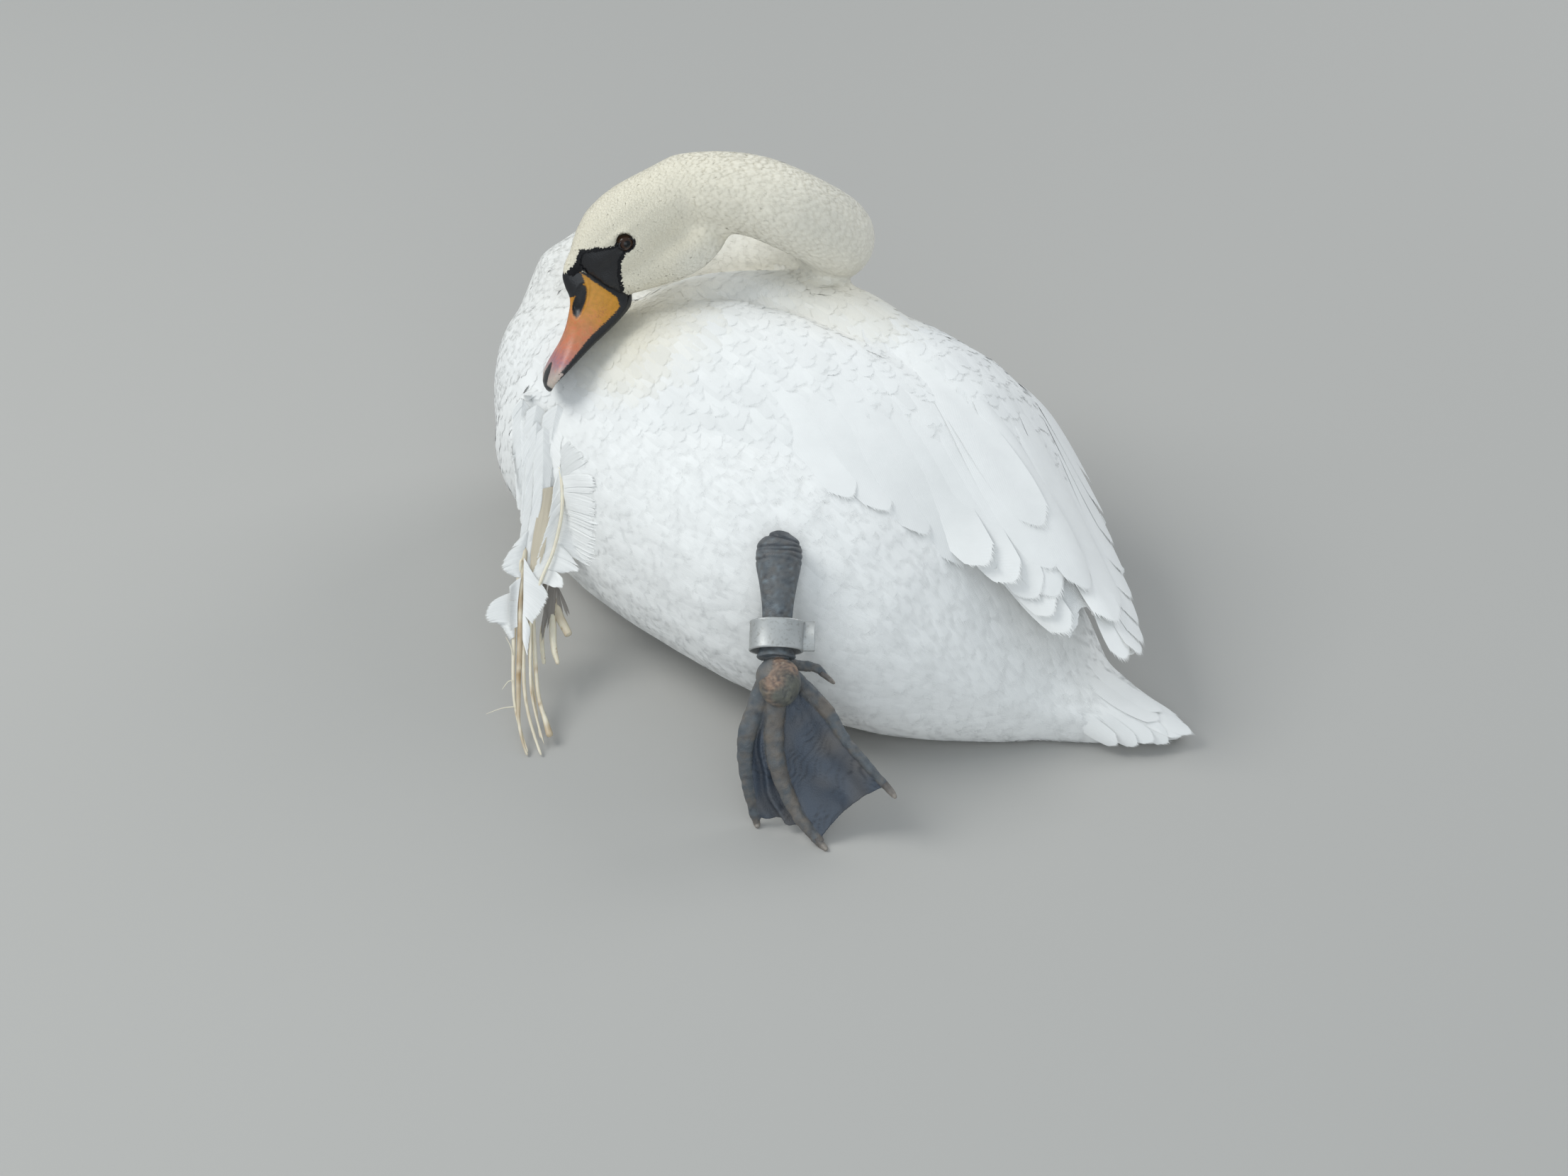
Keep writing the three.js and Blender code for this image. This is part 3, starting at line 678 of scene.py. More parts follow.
def even_turns(half, height, power, around):
    """Angles that space points evenly round a section that is rounded above and flat below."""
    turn = np.linspace(0, 2 * np.pi, 721)
    c, d = np.cos(turn), np.sin(turn)
    x = half * np.sign(c) * np.abs(c) ** (2 / power)
    y = np.where(d > 0, height * np.abs(d) ** (2 / power), 0)
    gone = np.concatenate([[0], np.cumsum(np.hypot(np.diff(x), np.diff(y)))])
    return np.interp(np.arange(around) / around * gone[-1], gone, turn)


def bill_sections(places):
    """The upper bill as rings without its details: ahead, up, left and the rise over its edge."""
    _, top, edge, half, power = table_at(UPPER_BILL, places).T
    turn = np.array([even_turns(*row, BILL_STEPS[1]) for row in zip(half, top - edge, power)])
    c, d = np.cos(turn), np.sin(turn)
    tooth = np.abs((places / TOOTH[0]) % 1 - 0.5) * 2 * TOOTH[1]
    tooth = tooth * np.clip((places - TOOTHED[0]) / 6, 0, 1)
    tooth *= np.clip((TOOTHED[1] - places) / 4, 0, 1)
    k = (2 / power)[:, None]
    left = half[:, None] * np.sign(c) * np.abs(c) ** k
    rise = np.where(d > 0, (top - edge)[:, None] * np.abs(d) ** k, 0)
    under = np.where(d <= 0, 2.5 * np.abs(d) * (half / 15)[:, None], 0)
    lip = bell(rise - under, 1.6) * (tooth[:, None] + 0.4)
    up = edge[:, None] + rise + under - lip
    return np.repeat(places[:, None], BILL_STEPS[1], 1), up, left, rise


def upper_bill():
    """Points, faces and head coordinates of the upper bill with nostrils, knob and nail."""
    ahead, up, left, rise = bill_sections(np.linspace(28, 131.8, BILL_STEPS[0]))
    outer = np.clip(rise / 4, 0, 1)
    sides = np.clip((np.abs(left) - 2) / 2, 0, 1)
    reach, along = nostril_reach(ahead, up)
    slit = spot((along - 0.55) / 0.4, (reach - 0.55) / 0.35)
    pit = 1.5 * bell(reach, 0.85) + 2.4 * slit - 0.5 * bell(reach - 1.2, 0.22)
    left = left - np.sign(left) * pit * sides * outer
    bulge = spot((ahead - KNOB[0]) / KNOB[2], np.hypot((up - KNOB[1]) / KNOB[4], left / KNOB[3]))
    steep = np.clip((61 - ahead) / 4, 0, 1)
    up = up + KNOB_RISE * bulge * steep * outer
    left = left * (1 + 0.10 * bulge * steep)
    nail = spot((ahead - NAIL[0]) / NAIL[1], left / NAIL[2]) * outer
    up = up + NAIL[3] * nail
    points = in_head(ahead, up, left).reshape(-1, 3)
    return points, ring_faces(*BILL_STEPS), np.stack([ahead, up, left], -1).reshape(-1, 3)


def soft_step(value, width):
    """0 well below zero and 1 well above it, as a column."""
    return np.clip(value / width + 0.5, 0, 1)[:, None]


def bill_colors(ahead, up, edge, spots, grain):
    """The orange horn that turns salmon, with its blotches, pale edge and flecks."""
    color = table_at(BILL_COLORS, ahead)[:, 1:] * (1 + 0.16 * spots + 0.06 * grain)[:, None]
    blotched = np.clip(spots * 1.6 * bell((ahead - 86) / 26, 1), 0, 0.5)
    color = blend_colors(color, HORN_WARM, blotched)
    pale = np.clip((ahead - 104) / 10, 0, 1) * np.clip(1 - (up - edge - 2.2) / 3, 0, 1)
    color = blend_colors(color, HORN_PALE, 0.6 * pale)
    fleck = soft_step(0.6 * spot((ahead - 56) / 8, (up + 21) / 5) + grain - 0.72, 0.15)
    return color + (HORN_FLECK - color) * 0.6 * fleck


def bill_black(ahead, up, left, edge, spots, grain):
    """How black the horn is: along its edge, in the nostril, on the knob and nail, and at its base."""
    band = np.interp(ahead, *BAND.T) * (1 + 0.25 * grain)
    far = np.where(left < 0, 1.0, np.clip((116 - ahead) / 3 + spots * 2, 0, 1))
    tip = np.clip((ahead - 128.3 + 0.6 * grain) / 0.8 + 0.5, 0, 1)
    rim = soft_step(np.where(far > 0.5, edge + band - up, -1), 0.5)
    hole = soft_step((1 + 0.08 * grain - nostril_reach(ahead, up)[0]) * NOSTRIL[3], 0.7)
    knob = soft_step(up - np.interp(ahead, *KNOB_EDGE.T) + grain, 0.8)
    base = soft_step(39.6 + 5 * np.clip((-25 - up) / 6, 0, 1) + 0.8 * grain - ahead, 0.6)
    shield = np.where(up > edge + 2.5, 6 * np.sqrt(np.clip((ahead - 111) / 9, 0, 1)) - np.abs(left), -5)
    nail = soft_step(shield + 0.8 * grain, 1.0)
    return np.maximum.reduce([rim, hole, knob, base, nail, tip[:, None]])


def bill_tint(places):
    """Colour at each place of the upper bill, given ahead, up and left."""
    ahead, up, left = places.T
    edge = table_at(UPPER_BILL, ahead)[:, 2]
    spots = noisy(places, 0.35)
    grain = noisy(places, 1.1, 40)
    black = bill_black(ahead, up, left, edge, spots, grain)
    return bill_colors(ahead, up, edge, spots, grain) * (1 - black) + HORN_BLACK * black


def lower_bill():
    """Points and faces of the lower bill."""
    rings, around = LOWER_BILL_STEPS
    places = np.linspace(28, 127, rings)
    _, edge, keel, half = table_at(LOWER_BILL, places).T
    turn = np.linspace(0, 2 * np.pi, around, endpoint=False)[None]
    c, d = np.cos(turn), np.sin(turn)
    left = half[:, None] * np.sign(c) * np.abs(c) ** 0.8
    up = edge[:, None] + np.where(d > 0, 0.8 * d, (edge - keel)[:, None] * d)
    ahead = np.repeat(places[:, None], around, 1)
    return in_head(ahead, up, left).reshape(-1, 3), ring_faces(rings, around)


def bill():
    """Both halves of the bill."""
    points, faces, places = upper_bill()
    mesh = new_mesh("bill", points, faces)
    color_attribute(mesh, bill_tint(places))
    horn = horn_material("bill_horn", 0.36)
    finished(new_object("bill_upper_horn", mesh, horn), "bill", "bill_upper")
    points, faces = lower_bill()
    mesh = new_mesh("bill_under", points, faces)
    color_attribute(mesh, np.repeat(HORN_BLACK[None] * 1.4, len(points), 0))
    finished(new_object("bill_lower_horn", mesh, horn), "bill", "bill_lower")


def eyes():
    """Wet dark brown balls with a black pupil, under a clear gloss."""
    rings, around = EYE_STEPS
    turn = np.linspace(0, 2 * np.pi, around, endpoint=False)
    tilt = np.linspace(0.001, np.pi - 0.001, rings)[:, None]
    across = EYE_RADIUS * np.sin(tilt)
    iris = np.clip((np.repeat(across[:, 0], around) - 2.5) / 0.4, 0, 1)[:, None] * IRIS
    for name, side in (("eye_left", 1), ("eye_right", -1)):
        out = EYE_RADIUS * np.cos(tilt) * side * (1 + 0.04 * bell(tilt, 0.4)) + EYE_OUT * side
        points = in_head(EYE_AT[0] + across * np.cos(turn), EYE_AT[1] + across * np.sin(turn), out + 0 * turn)
        faces = ring_faces(rings, around)[:, ::side]
        mesh = new_mesh(name + "_ball", points.reshape(-1, 3), faces)
        color_attribute(mesh, iris + PUPIL)
        finished(new_object(name + "_ball", mesh, eye_material(name)), "eye", name)


# ---- legs and feet ------------------------------------------------------------------------------
# Tarsus from hock to ankle: [half width, half depth]
TARSUS = [[7, 6], [16.5, 13], [17.5, 14.5], [14.5, 12.5], [12, 10], [11.3, 9.3], [12.2, 10], [15, 12]]
# Left leg, stretched out with the sole outwards
LEFT_LEG = {
    "hock": [124, -172, 189], "ankle": [170, -233, 128], "joint": [176, -240, 117], "pad": [182, -243, 117],
    "outer": [[168, -239, 113], [169, -266, 76], [174, -274, 44], [185, -276, 5]],
    "middle": [[176, -240, 106], [190, -259, 64], [211, -264, 26], [238, -264, 3]],
    "inner": [[179, -226, 112], [211, -223, 92], [230, -225, 76], [270, -222, 46]],
    "hallux": [[172, -222, 116], [185, -206, 110], [194, -203, 104]],
    "up": [0.4, -0.7, 0.6], "sag": -5, "folds": [3.2, 1.4], "voxel": 0.85,
}
# Right leg, folded beside the belly with the sole down
RIGHT_LEG = {
    "hock": [206, 52, 38], "ankle": [118, 92, 15], "joint": [108, 97, 13], "pad": [104, 98, 10],
    "outer": [[104, 102, 12], [60, 132, 9], [20, 152, 7], [-12, 168, 4]],
    "middle": [[100, 98, 12], [52, 112, 10], [4, 126, 8], [-36, 138, 4]],
    "inner": [[102, 92, 12], [62, 96, 9], [26, 100, 7], [-14, 106, 4]],
    "hallux": [[112, 98, 13], [124, 112, 9], [133, 120, 5]],
    "up": [0, 0, 1], "sag": 2, "folds": [0.8, 0.8], "voxel": 1.15,
}
TOES = ("outer", "middle", "inner", "hallux")
TOE_ROOT = {"outer": 8.4, "middle": 8.8, "inner": 6.6, "hallux": 4.75}
TOE_TAPER = 0.58
TOE_FLATNESS = 0.72
CREASES = [0.17, 0.205, 0.245, 0.29]          # across the hock, along the tarsus
CREASE_WIDTH = 0.0085
HOCK_FOLD = 0.09                              # where the deepest fold runs
TENDONS = 5
TOE_CREASES = [0.2, 0.46, 0.7, 0.88]
WEB_PLEATS = 2.5
WEB_LINES = 17
WEB_SPAN = (0.02, 0.97)                       # the stretch of the toes that the web joins
JOINT_REACH = [15, 16, 14.5]                  # across, along the foot, and out
PAD_REACH = [16, 19, 11.5]
# Rings and points round each, or rows and columns of the web
TARSUS_STEPS = (120, 56)
TOE_STEPS = (90, 28)
WEB_STEPS = (80, 60)
BALL_STEPS = (32, 48)
CLAW_STEPS = (24, 16)
SLATE = np.array([0.102, 0.118, 0.132])
SLATE_DARK = np.array([0.034, 0.038, 0.048])
SLATE_PALE = np.array([0.19, 0.225, 0.25])
SLATE_BROWN = np.array([0.165, 0.145, 0.125])
WEB_SLATE = SLATE * [0.60, 0.66, 0.80]
CRUST = np.array([0.31, 0.205, 0.145])
CRUST_PALE = np.array([0.44, 0.375, 0.29])
CRUST_GREY = np.array([0.135, 0.135, 0.11])
CLAW_DARK = np.array([0.10, 0.09, 0.085])
CLAW_PALE = np.array([0.27, 0.24, 0.21])
FLOOR_GAP = 0.3                # the skin of a foot keeps this far off the floor


def limb(path, half, above, below, up, rings, around):
    """A tube round a smooth path; also each point's place along it and its turn from the side."""
    t = np.linspace(0, 1, rings)
    centre = smooth_rows(path, t)
    ahead = unit(np.gradient(centre, axis=0))
    side = unit(np.cross(np.array(up, float), ahead))
    out = np.cross(ahead, side)
    turn = np.linspace(0, 2 * np.pi, around, endpoint=False)
    c, d = np.cos(turn)[None, :, None], np.sin(turn)[None, :, None]
    high = np.where(d > 0, above[:, None, None], below[:, None, None])
    points = centre[:, None] + side[:, None] * half[:, None, None] * c + out[:, None] * high * d
    return points.reshape(-1, 3), ring_faces(rings, around), np.repeat(t, around), np.tile(turn, rings)


def tarsus(leg):
    """Hock and shank, with the hock's folds and the shank's faint tendons; the creases and the deepest fold
    are darkened with painted shade.
    """
    t = np.linspace(0, 1, TARSUS_STEPS[0])
    half, deep = smooth_rows(TARSUS, t).T
    points, faces, t, turn = limb([leg["hock"], leg["ankle"]], half, deep, deep, leg["up"], *TARSUS_STEPS)
    wave = noisy(points, 0.05)
    lift = 0.9 * noisy(points, 0.11, 7) * np.clip(1 - t * 2.4, 0, 1)
    # painted shade: how much each crease darkens the skin
    dark = np.zeros(len(t))
    for k, place in enumerate(CREASES):
        bent = place + 0.018 * np.sin(turn + k * 0.6) + 0.014 * wave
        groove = bell(t - bent, CREASE_WIDTH) * np.clip(0.75 + 0.5 * np.sin(turn + 1.3 * k), 0, 1)
        lift -= groove
        dark += groove
    fold = bell(t - HOCK_FOLD - 0.05 * np.cos(turn), 0.013)
    lift -= 1.5 * fold
    lift += 0.35 * np.cos(turn * TENDONS) * np.clip((t - 0.35) * 4, 0, 1)
    mottle = noisy(points, 0.16, 3)
    tint = blend_colors(SLATE, SLATE_BROWN, 0.25 + 0.5 * mottle)
    tint = blend_colors(tint, SLATE_PALE, 0.5 * mottle + 1.3 * noisy(points, 0.3, 12) - 0.1)
    tint = blend_colors(tint, SLATE_DARK, 1.5 * noisy(points, 0.42, 23) - 0.25)
    # painted shade: darker at the hock's end, where it goes in under the body's feathers
    tint = blend_colors(tint, SLATE_DARK, 0.75 * bell(t, 0.13))
    # painted shade: darker in the creases and in the hock's deepest fold
    return points, faces, blend_colors(tint, SLATE_DARK, dark + fold), lift


def toe(leg, name):
    """One toe: its pads below, and the creases between them; the creases and the cracks between its scales
    are darkened with painted shade.
    """
    t = np.linspace(0, 1, TOE_STEPS[0])
    half = TOE_ROOT[name] * (1 - TOE_TAPER * t)
    deep = half * TOE_FLATNESS
    points, faces, t, turn = limb(leg[name], half, deep, deep, leg["up"], *TOE_STEPS)
    lift = np.zeros(len(t))
    dark = np.zeros(len(t))
    for k, place in enumerate(TOE_CREASES):
        groove = bell(t - place - 0.02 * np.sin(turn * 2 + k), 0.014)
        lift += 0.3 * bell(t - place + 0.1, 0.08) - 0.3 * groove
        # painted shade: how much each crease darkens the skin
        dark += 0.3 * groove
    wrinkle = np.sin(t * 95 + 2.5 * noisy(points, 0.15, 4)) * np.clip(0.4 + noisy(points, 0.1, 8), 0, 1)
    scales = 0.5 - lumps(points, 0.3)
    lift += 0.8 * noisy(points, 0.14) + 0.22 * wrinkle + 0.5 * scales
    mottle = noisy(points, 0.11, 9) + 0.7 * noisy(points, 0.35, 15)
    worn = 0.3 + 0.8 * mottle + (0.45 if name == "middle" else 0)
    worn += 1.2 * bell(t - 0.3, 0.06) if name == "inner" else 0
    tint = blend_colors(SLATE, SLATE_BROWN, worn)
    # painted shade: darker in the creases and in the cracks between the scales
    return points, faces, blend_colors(tint, SLATE_DARK, dark + 0.3 * wrinkle - 0.5 * scales), lift


def web_grid(leg, first, second, fold):
    """The middle sheet of a web: its points, their normals, how folded they are, and its two scales."""
    rows, columns = WEB_STEPS
    t = np.linspace(*WEB_SPAN, rows)
    a, b = smooth_rows(leg[first], t), smooth_rows(leg[second], t)
    s = np.linspace(0, 1, columns)
    bow = 4 * s * (1 - s)
    grid = a[:, None] * (1 - s)[None, :, None] + b[:, None] * s[None, :, None]
    back = (1 - 0.05 * bow[None] * t[:, None])[..., None]
    grid = grid[:1] * (1 - back) + grid * back
    grid += np.array(leg["up"])[None, None] * (leg["sag"] * bow[None] * t[:, None])[..., None]
    normal = unit(np.cross(np.gradient(grid, axis=0), np.gradient(grid, axis=1)))
    wander = noisy(grid.reshape(-1, 3), 0.035).reshape(rows, columns)
    pleat = np.sin(2 * np.pi * (WEB_PLEATS * s[None] + 0.35 * wander)) * bow[None]
    grid += normal * (fold * pleat * np.sqrt(t)[:, None])[..., None]
    return grid, normal, pleat, t, s


def sheet_faces(rows, columns):
    """Faces of a closed sheet: rows of points on one side, the same on the other, and a rim."""
    i, j = np.meshgrid(np.arange(rows - 1), np.arange(columns - 1), indexing="ij")
    k = (i * columns + j).ravel()
    top = np.stack([k, k + columns, k + columns + 1, k, k + columns + 1, k + 1], 1).reshape(-1, 3)
    rim = np.concatenate([
        np.arange(columns), np.arange(1, rows) * columns + columns - 1,
        (rows - 1) * columns + np.arange(columns - 2, -1, -1), np.arange(rows - 2, 0, -1) * columns,
    ])
    after, low = np.roll(rim, -1), rows * columns
    edge = np.stack([rim, after, after + low, rim, after + low, rim + low], 1).reshape(-1, 3)
    return np.concatenate([top, top[:, ::-1] + low, edge])


def web(leg, first, second, fold):
    """The skin between two toes: folded lengthwise, with fine lines across; the sunk lines and the folds'
    valleys are darkened with painted shade.
    """
    grid, normal, pleat, t, s = web_grid(leg, first, second, fold)
    thick = (1.05 - 0.3 * t)[:, None, None]
    points = np.concatenate([(grid + normal * thick).reshape(-1, 3), (grid - normal * thick).reshape(-1, 3)])
    faces = sheet_faces(*WEB_STEPS)
    a, b, c = points[faces[0]]
    if np.cross(b - a, c - a) @ normal[0, 0] < 0:
        faces = faces[:, ::-1]
    place = np.tile(np.repeat(t, len(s)), 2)
    across = np.tile(np.tile(s, len(t)), 2)
    rough = noisy(points, 0.09, 5)
    line = bell(((place * WEB_LINES + 1.1 * rough + 3.5 * across) % 1) - 0.5, 0.10)
    line *= np.clip(0.5 + 1.5 * noisy(points, 0.05, 20), 0, 1)
    tint = blend_colors(WEB_SLATE, SLATE_BROWN, 0.1 + 0.7 * noisy(points, 0.05, 31))
    # painted shade: darker in the valleys of the folds
    web_valley_shade = np.tile(np.clip(-pleat * fold / 4, 0, 1).ravel(), 2)
    # painted shade: darker in the sunk fine lines and in the folds' valleys
    return points, faces, blend_colors(tint, SLATE_DARK, 0.9 * line + 0.6 * web_valley_shade), -0.6 * line


def ball(centre, radii, axes):
    """A rounded lump with its own radii along three axes."""
    rings, around = BALL_STEPS
    turn = np.linspace(0, 2 * np.pi, around, endpoint=False)[None]
    tilt = np.linspace(0.02, np.pi - 0.02, rings)[:, None]
    shape = np.stack([np.sin(tilt) * np.cos(turn), np.sin(tilt) * np.sin(turn), np.cos(tilt) + 0 * turn], -1)
    points = np.array(centre) + (shape * radii) @ np.array(axes)
    return points.reshape(-1, 3), ring_faces(rings, around)


def foot_middle(leg):
    """The joint under the toes, and the crusted pad on its sole."""
    along = unit(np.array(leg["middle"][1], float) - leg["hock"])
    out = unit(tangential(np.array(leg["up"], float), along))
    across = np.cross(out, along)
    axes = [across, along, out]
    points, faces = ball(leg["joint"], JOINT_REACH, axes)
    tint = blend_colors(SLATE, SLATE_BROWN, 0.5 + 0.6 * noisy(points, 0.12))
    joint = points, faces, tint, 0.8 * noisy(points, 0.16)
    points, faces = ball(leg["pad"], PAD_REACH, axes)
    cell = 0.65 * lumps(points, 0.55) + 0.5 * lumps(points, 1.2)
    facing = unit(points - leg["pad"]) @ out
    patch = np.clip((facing + 0.25 * noisy(points, 0.12)) * 3 + 0.2, 0, 1)
    pale = blend_colors(CRUST, CRUST_PALE, 1.1 - 2.4 * cell)
    lower = (points - leg["pad"]) @ (along + 0.6 * across) / 14
    grey = blend_colors(pale, CRUST_GREY, 0.5 + 0.6 * lower + 1.2 * noisy(points, 0.09, 2))
    crust = blend_colors(grey, SLATE_DARK, (cell - 0.5) * 2.5)
    pad = points, faces, blend_colors(SLATE, crust, patch), patch * (1.3 - 2.2 * cell)
    return [joint, pad]


def leg_skin(leg):
    """One leg and foot as an even skin with its tints."""
    parts = [tarsus(leg)] + [toe(leg, name) for name in TOES]
    parts += [web(leg, "outer", "middle", leg["folds"][0]), web(leg, "middle", "inner", leg["folds"][1])]
    parts += foot_middle(leg)
    raw = Surface(*merged([part[:2] for part in parts]))
    detail = np.concatenate([np.concatenate([part[2], part[3][:, None]], 1) for part in parts])
    points, triangles = remeshed(raw.points, raw.triangles, leg["voxel"])
    edges = edges_of(triangles)
    points = relaxed(points, edges, 2)
    detail = diffused(raw.read(detail, points), edges, 1)
    points = points + normals_of(points, triangles) * detail[:, 3:]
    points[:, 2] = np.maximum(points[:, 2], FLOOR_GAP)
    return points, triangles, detail[:, :3]


def claw_path(near, tip, up, size):
    """The line of one claw, from inside the toe's end, and no lower than it is thick."""
    ahead = unit(tip - near)
    path = [tip - ahead * 5, tip + ahead * 1.5, tip + ahead * 6 + up, tip + ahead * 9 + up * 3.2]
    return np.array([[x, y, max(z, size * 0.6)] for x, y, z in path])


def claws():
    """Worn, blunt claws at the toes' ends, curved towards the sole."""
    parts, tints = [], []
    t = np.linspace(0, 1, CLAW_STEPS[0])
    for leg in (LEFT_LEG, RIGHT_LEG):
        up = unit(np.array(leg["up"], float))
        for name in TOES:
            size = 2.2 if name == "hallux" else 3.0
            path = claw_path(*np.array(leg[name][-2:], float), up, size)
            half = size * np.sqrt(1 - t ** 2 * 0.93)
            points, faces, along, _ = limb(path, half, half, half * 0.8, leg["up"], *CLAW_STEPS)
            parts.append((points, faces))
            horn = blend_colors(CLAW_DARK, CLAW_PALE, along * 1.2)
            tints.append(horn * (1 + 0.3 * noisy(points, 0.5))[:, None])
    mesh = new_mesh("claws", *merged(parts))
    color_attribute(mesh, np.concatenate(tints))
    finished(new_object("claws", mesh, horn_material("claw_horn", 0.5)), "leg_skin")


# ---- the leg ring -------------------------------------------------------------------------------
RING = {"along": 0.83, "half": 20.5, "deep": 15.5, "height": 23, "wall": 1.5, "flange": 10}
RING_GAP = 0.10                # radians to either side of where the band is closed
RING_STEPS = 120
PLATE_STEPS = 14
# The two plates that close it: [height over their middle, how far they spread, how much shorter]
PLATES = [(1.05, 0.3, 0), (-1.05, -0.2, 0.7)]


def ring_band(half, wall):
    """The band round the leg: across, out and along for each point of its rings."""
    # Round the wall's section: [height, out from the inner face]
    section = np.array([
        [-half + 0.6, 0], [half - 0.6, 0], [half - 0.1, 0.25], [half, 0.9], [half - 0.2, wall + 0.15],
        [half - 1.2, wall + 0.3], [half - 2.4, wall], [-half + 2.4, wall], [-half + 1.2, wall + 0.3],
        [-half + 0.2, wall + 0.15], [-half, 0.9], [-half + 0.1, 0.25],
    ])
    turn = np.linspace(RING_GAP, 2 * np.pi - RING_GAP, RING_STEPS)
    dented = 0.25 * np.sin(3 * turn + 1) + 0.12 * np.sin(7 * turn)
    reach = section[None, :, 1] + dented[:, None]
    x = (RING["half"] - wall + reach) * np.cos(turn)[:, None]
    y = (RING["deep"] - wall + reach) * np.sin(turn)[:, None]
    return x, y, np.tile(section[:, 0], (RING_STEPS, 1))


def ring_plate(half, level, spread, shorter):
    """One closing plate: across, out and along for each point of its rings."""
    start, end = RING["half"] - 2.2, RING["half"] + RING["flange"] - 1 - shorter
    x = np.linspace(start, end, PLATE_STEPS)
    rim = np.array([
        [-half + 0.3, -0.5], [half - 0.3, -0.5], [half, -0.1], [half - 0.3, 0.55],
        [-half + 0.3, 0.55], [-half, -0.1],
    ])
    curl = level + spread * ((x - start) / 8) ** 2
    across = np.repeat(x[:, None], len(rim), 1)
    return across, curl[:, None] + rim[None, :, 1], np.tile(rim[:, 0], (PLATE_STEPS, 1))


def leg_ring():
    """A worn alloy band with rolled edges, closed by two plates laid together at one side."""
    hock, ankle = np.array(LEFT_LEG["hock"], float), np.array(LEFT_LEG["ankle"], float)
    along = unit(ankle - hock)
    out = unit(tangential(np.array(LEFT_LEG["up"], float), along))
    side = np.cross(out, along)
    middle = hock + (ankle - hock) * RING["along"]
    half = RING["height"] / 2
    parts = []
    for x, y, z in [ring_band(half, RING["wall"])] + [ring_plate(half, *plate) for plate in PLATES]:
        points = middle + x[..., None] * side + y[..., None] * out + z[..., None] * along
        parts.append((points.reshape(-1, 3), ring_faces(*x.shape)))
    parts[0] = parts[0][0], parts[0][1][:, ::-1]     # the band's rings run the other way
    mesh = new_mesh("ring_band", *merged(parts))
    finished(new_object("ring_band", mesh, alloy_material(), False), "ring_metal", "leg_ring")


# ---- feathers -----------------------------------------------------------------------------------
ROOT_SUNK = 0.15               # a root's height as a share of what it would be
BOW = 0.10                     # how far a feather's shading turns aside at its edges
TIP_BOW = 0.10                 # and forward at its tip
COAT_LIMIT = 190000            # most triangles in one piece of the coat
PATCH = 0.003                  # size of one feather's patch in the bake map
BARB_UNIT = 50                 # millimetres of a feather for one unit of its own map
CELL = 4                       # size of the cells that feathers are ordered by


def scatter(skin, wanted):
    """Roots spread evenly over the skin where wanted, as dense as each place's spacing asks."""
    surface = skin["surface"]
    triangles = surface.triangles
    a, b, c = (surface.points[triangles[:, k]] for k in range(3))
    area = np.linalg.norm(np.cross(b - a, c - a), axis=1) / 2
    spacing = skin["sizes"][triangles, 3].mean(1)
    weight = area / spacing ** 2 * wanted
    order = np.argsort(morton(((a + b + c) / 3 - surface.points.min(0)) / CELL))
    summed = np.cumsum(weight[order])
    count = int(summed[-1])
    ticks = (np.arange(count) + RNG.uniform(0.15, 0.85, count)) * summed[-1] / count
    faces = order[np.searchsorted(summed, ticks)]
    f, g = RNG.random((2, count))
    over = f + g > 1
    f[over], g[over] = 1 - f[over], 1 - g[over]
    weights = np.stack([1 - f - g, f, g], axis=1)
    return faces, weights


def morton(cells):
    """A number for each cell, so that cells with near numbers lie close together."""
    code = np.zeros(len(cells), np.int64)
    whole = np.clip(cells, 0, 1023).astype(np.int64)
    for bit in range(10):
        for axis in range(3):
            code |= ((whole[:, axis] >> bit) & 1) << (3 * bit + axis)
    return code


def trails(skin, faces, weights, lengths, turn, steps):
    """Walks from each root along the lie, keeping to the skin but flying free past an edge."""
    surface = skin["surface"]
    corners = surface.triangles[faces]
    blend = weights[:, :, None]
    points = [(surface.points[corners] * blend).sum(1)]
    normals = [unit((surface.normals[corners] * blend).sum(1))]
    lie = (skin["lies"][corners] * blend).sum(1)
    side = np.cross(normals[0], lie)
    heading = unit(tangential(lie * np.cos(turn)[:, None] + side * np.sin(turn)[:, None], normals[0]))
    headings = [heading]
    stride = (lengths / steps)[:, None]
    free = np.zeros((len(faces), 1), bool)
    for _ in range(steps):
        ahead = points[-1] + heading * stride
        hit, normal, _ = surface.nearest(ahead)
        free |= np.linalg.norm(hit - ahead, axis=1, keepdims=True) > 0.45 * stride
        free |= (normal * normals[-1]).sum(1, keepdims=True) < 0.4
        normal = np.where(free, normals[-1], normal)
        points.append(np.where(free, ahead, hit))
        normals.append(normal)
        heading = unit(tangential(heading, normal))
        headings.append(heading)
    return np.stack(points, 1), np.stack(normals, 1), np.stack(headings, 1)


class Vane:
    """One feather's shape: rows of vertices from root to tip, then pointed locks of barbs."""

    def __init__(self, rows, columns, locks):
        self.v = np.repeat(rows, columns)
        self.u = np.tile(np.linspace(-1, 1, columns), len(rows))
        faces = []
        for r in range(len(rows) - 1):
            for k in range(columns - 1):
                a = r * columns + k
                faces += [[a, a + columns + 1, a + 1], [a, a + columns, a + columns + 1]]
        start = len(self.v)
        tips = np.linspace(-1, 1, 2 * locks + 1)[1::2]
        half = 0.85 / locks
        self.u = np.concatenate([self.u, tips - half, tips, tips + half])
        self.v = np.concatenate([self.v, np.full(locks, rows[-1]), np.ones(locks), np.full(locks, rows[-1])])
        self.lock = np.zeros(len(self.v), bool)
        self.lock[start + locks:start + 2 * locks] = True
        faces += [[start + k, start + locks + k, start + 2 * locks + k] for k in range(locks)]
        self.faces = np.array(faces)


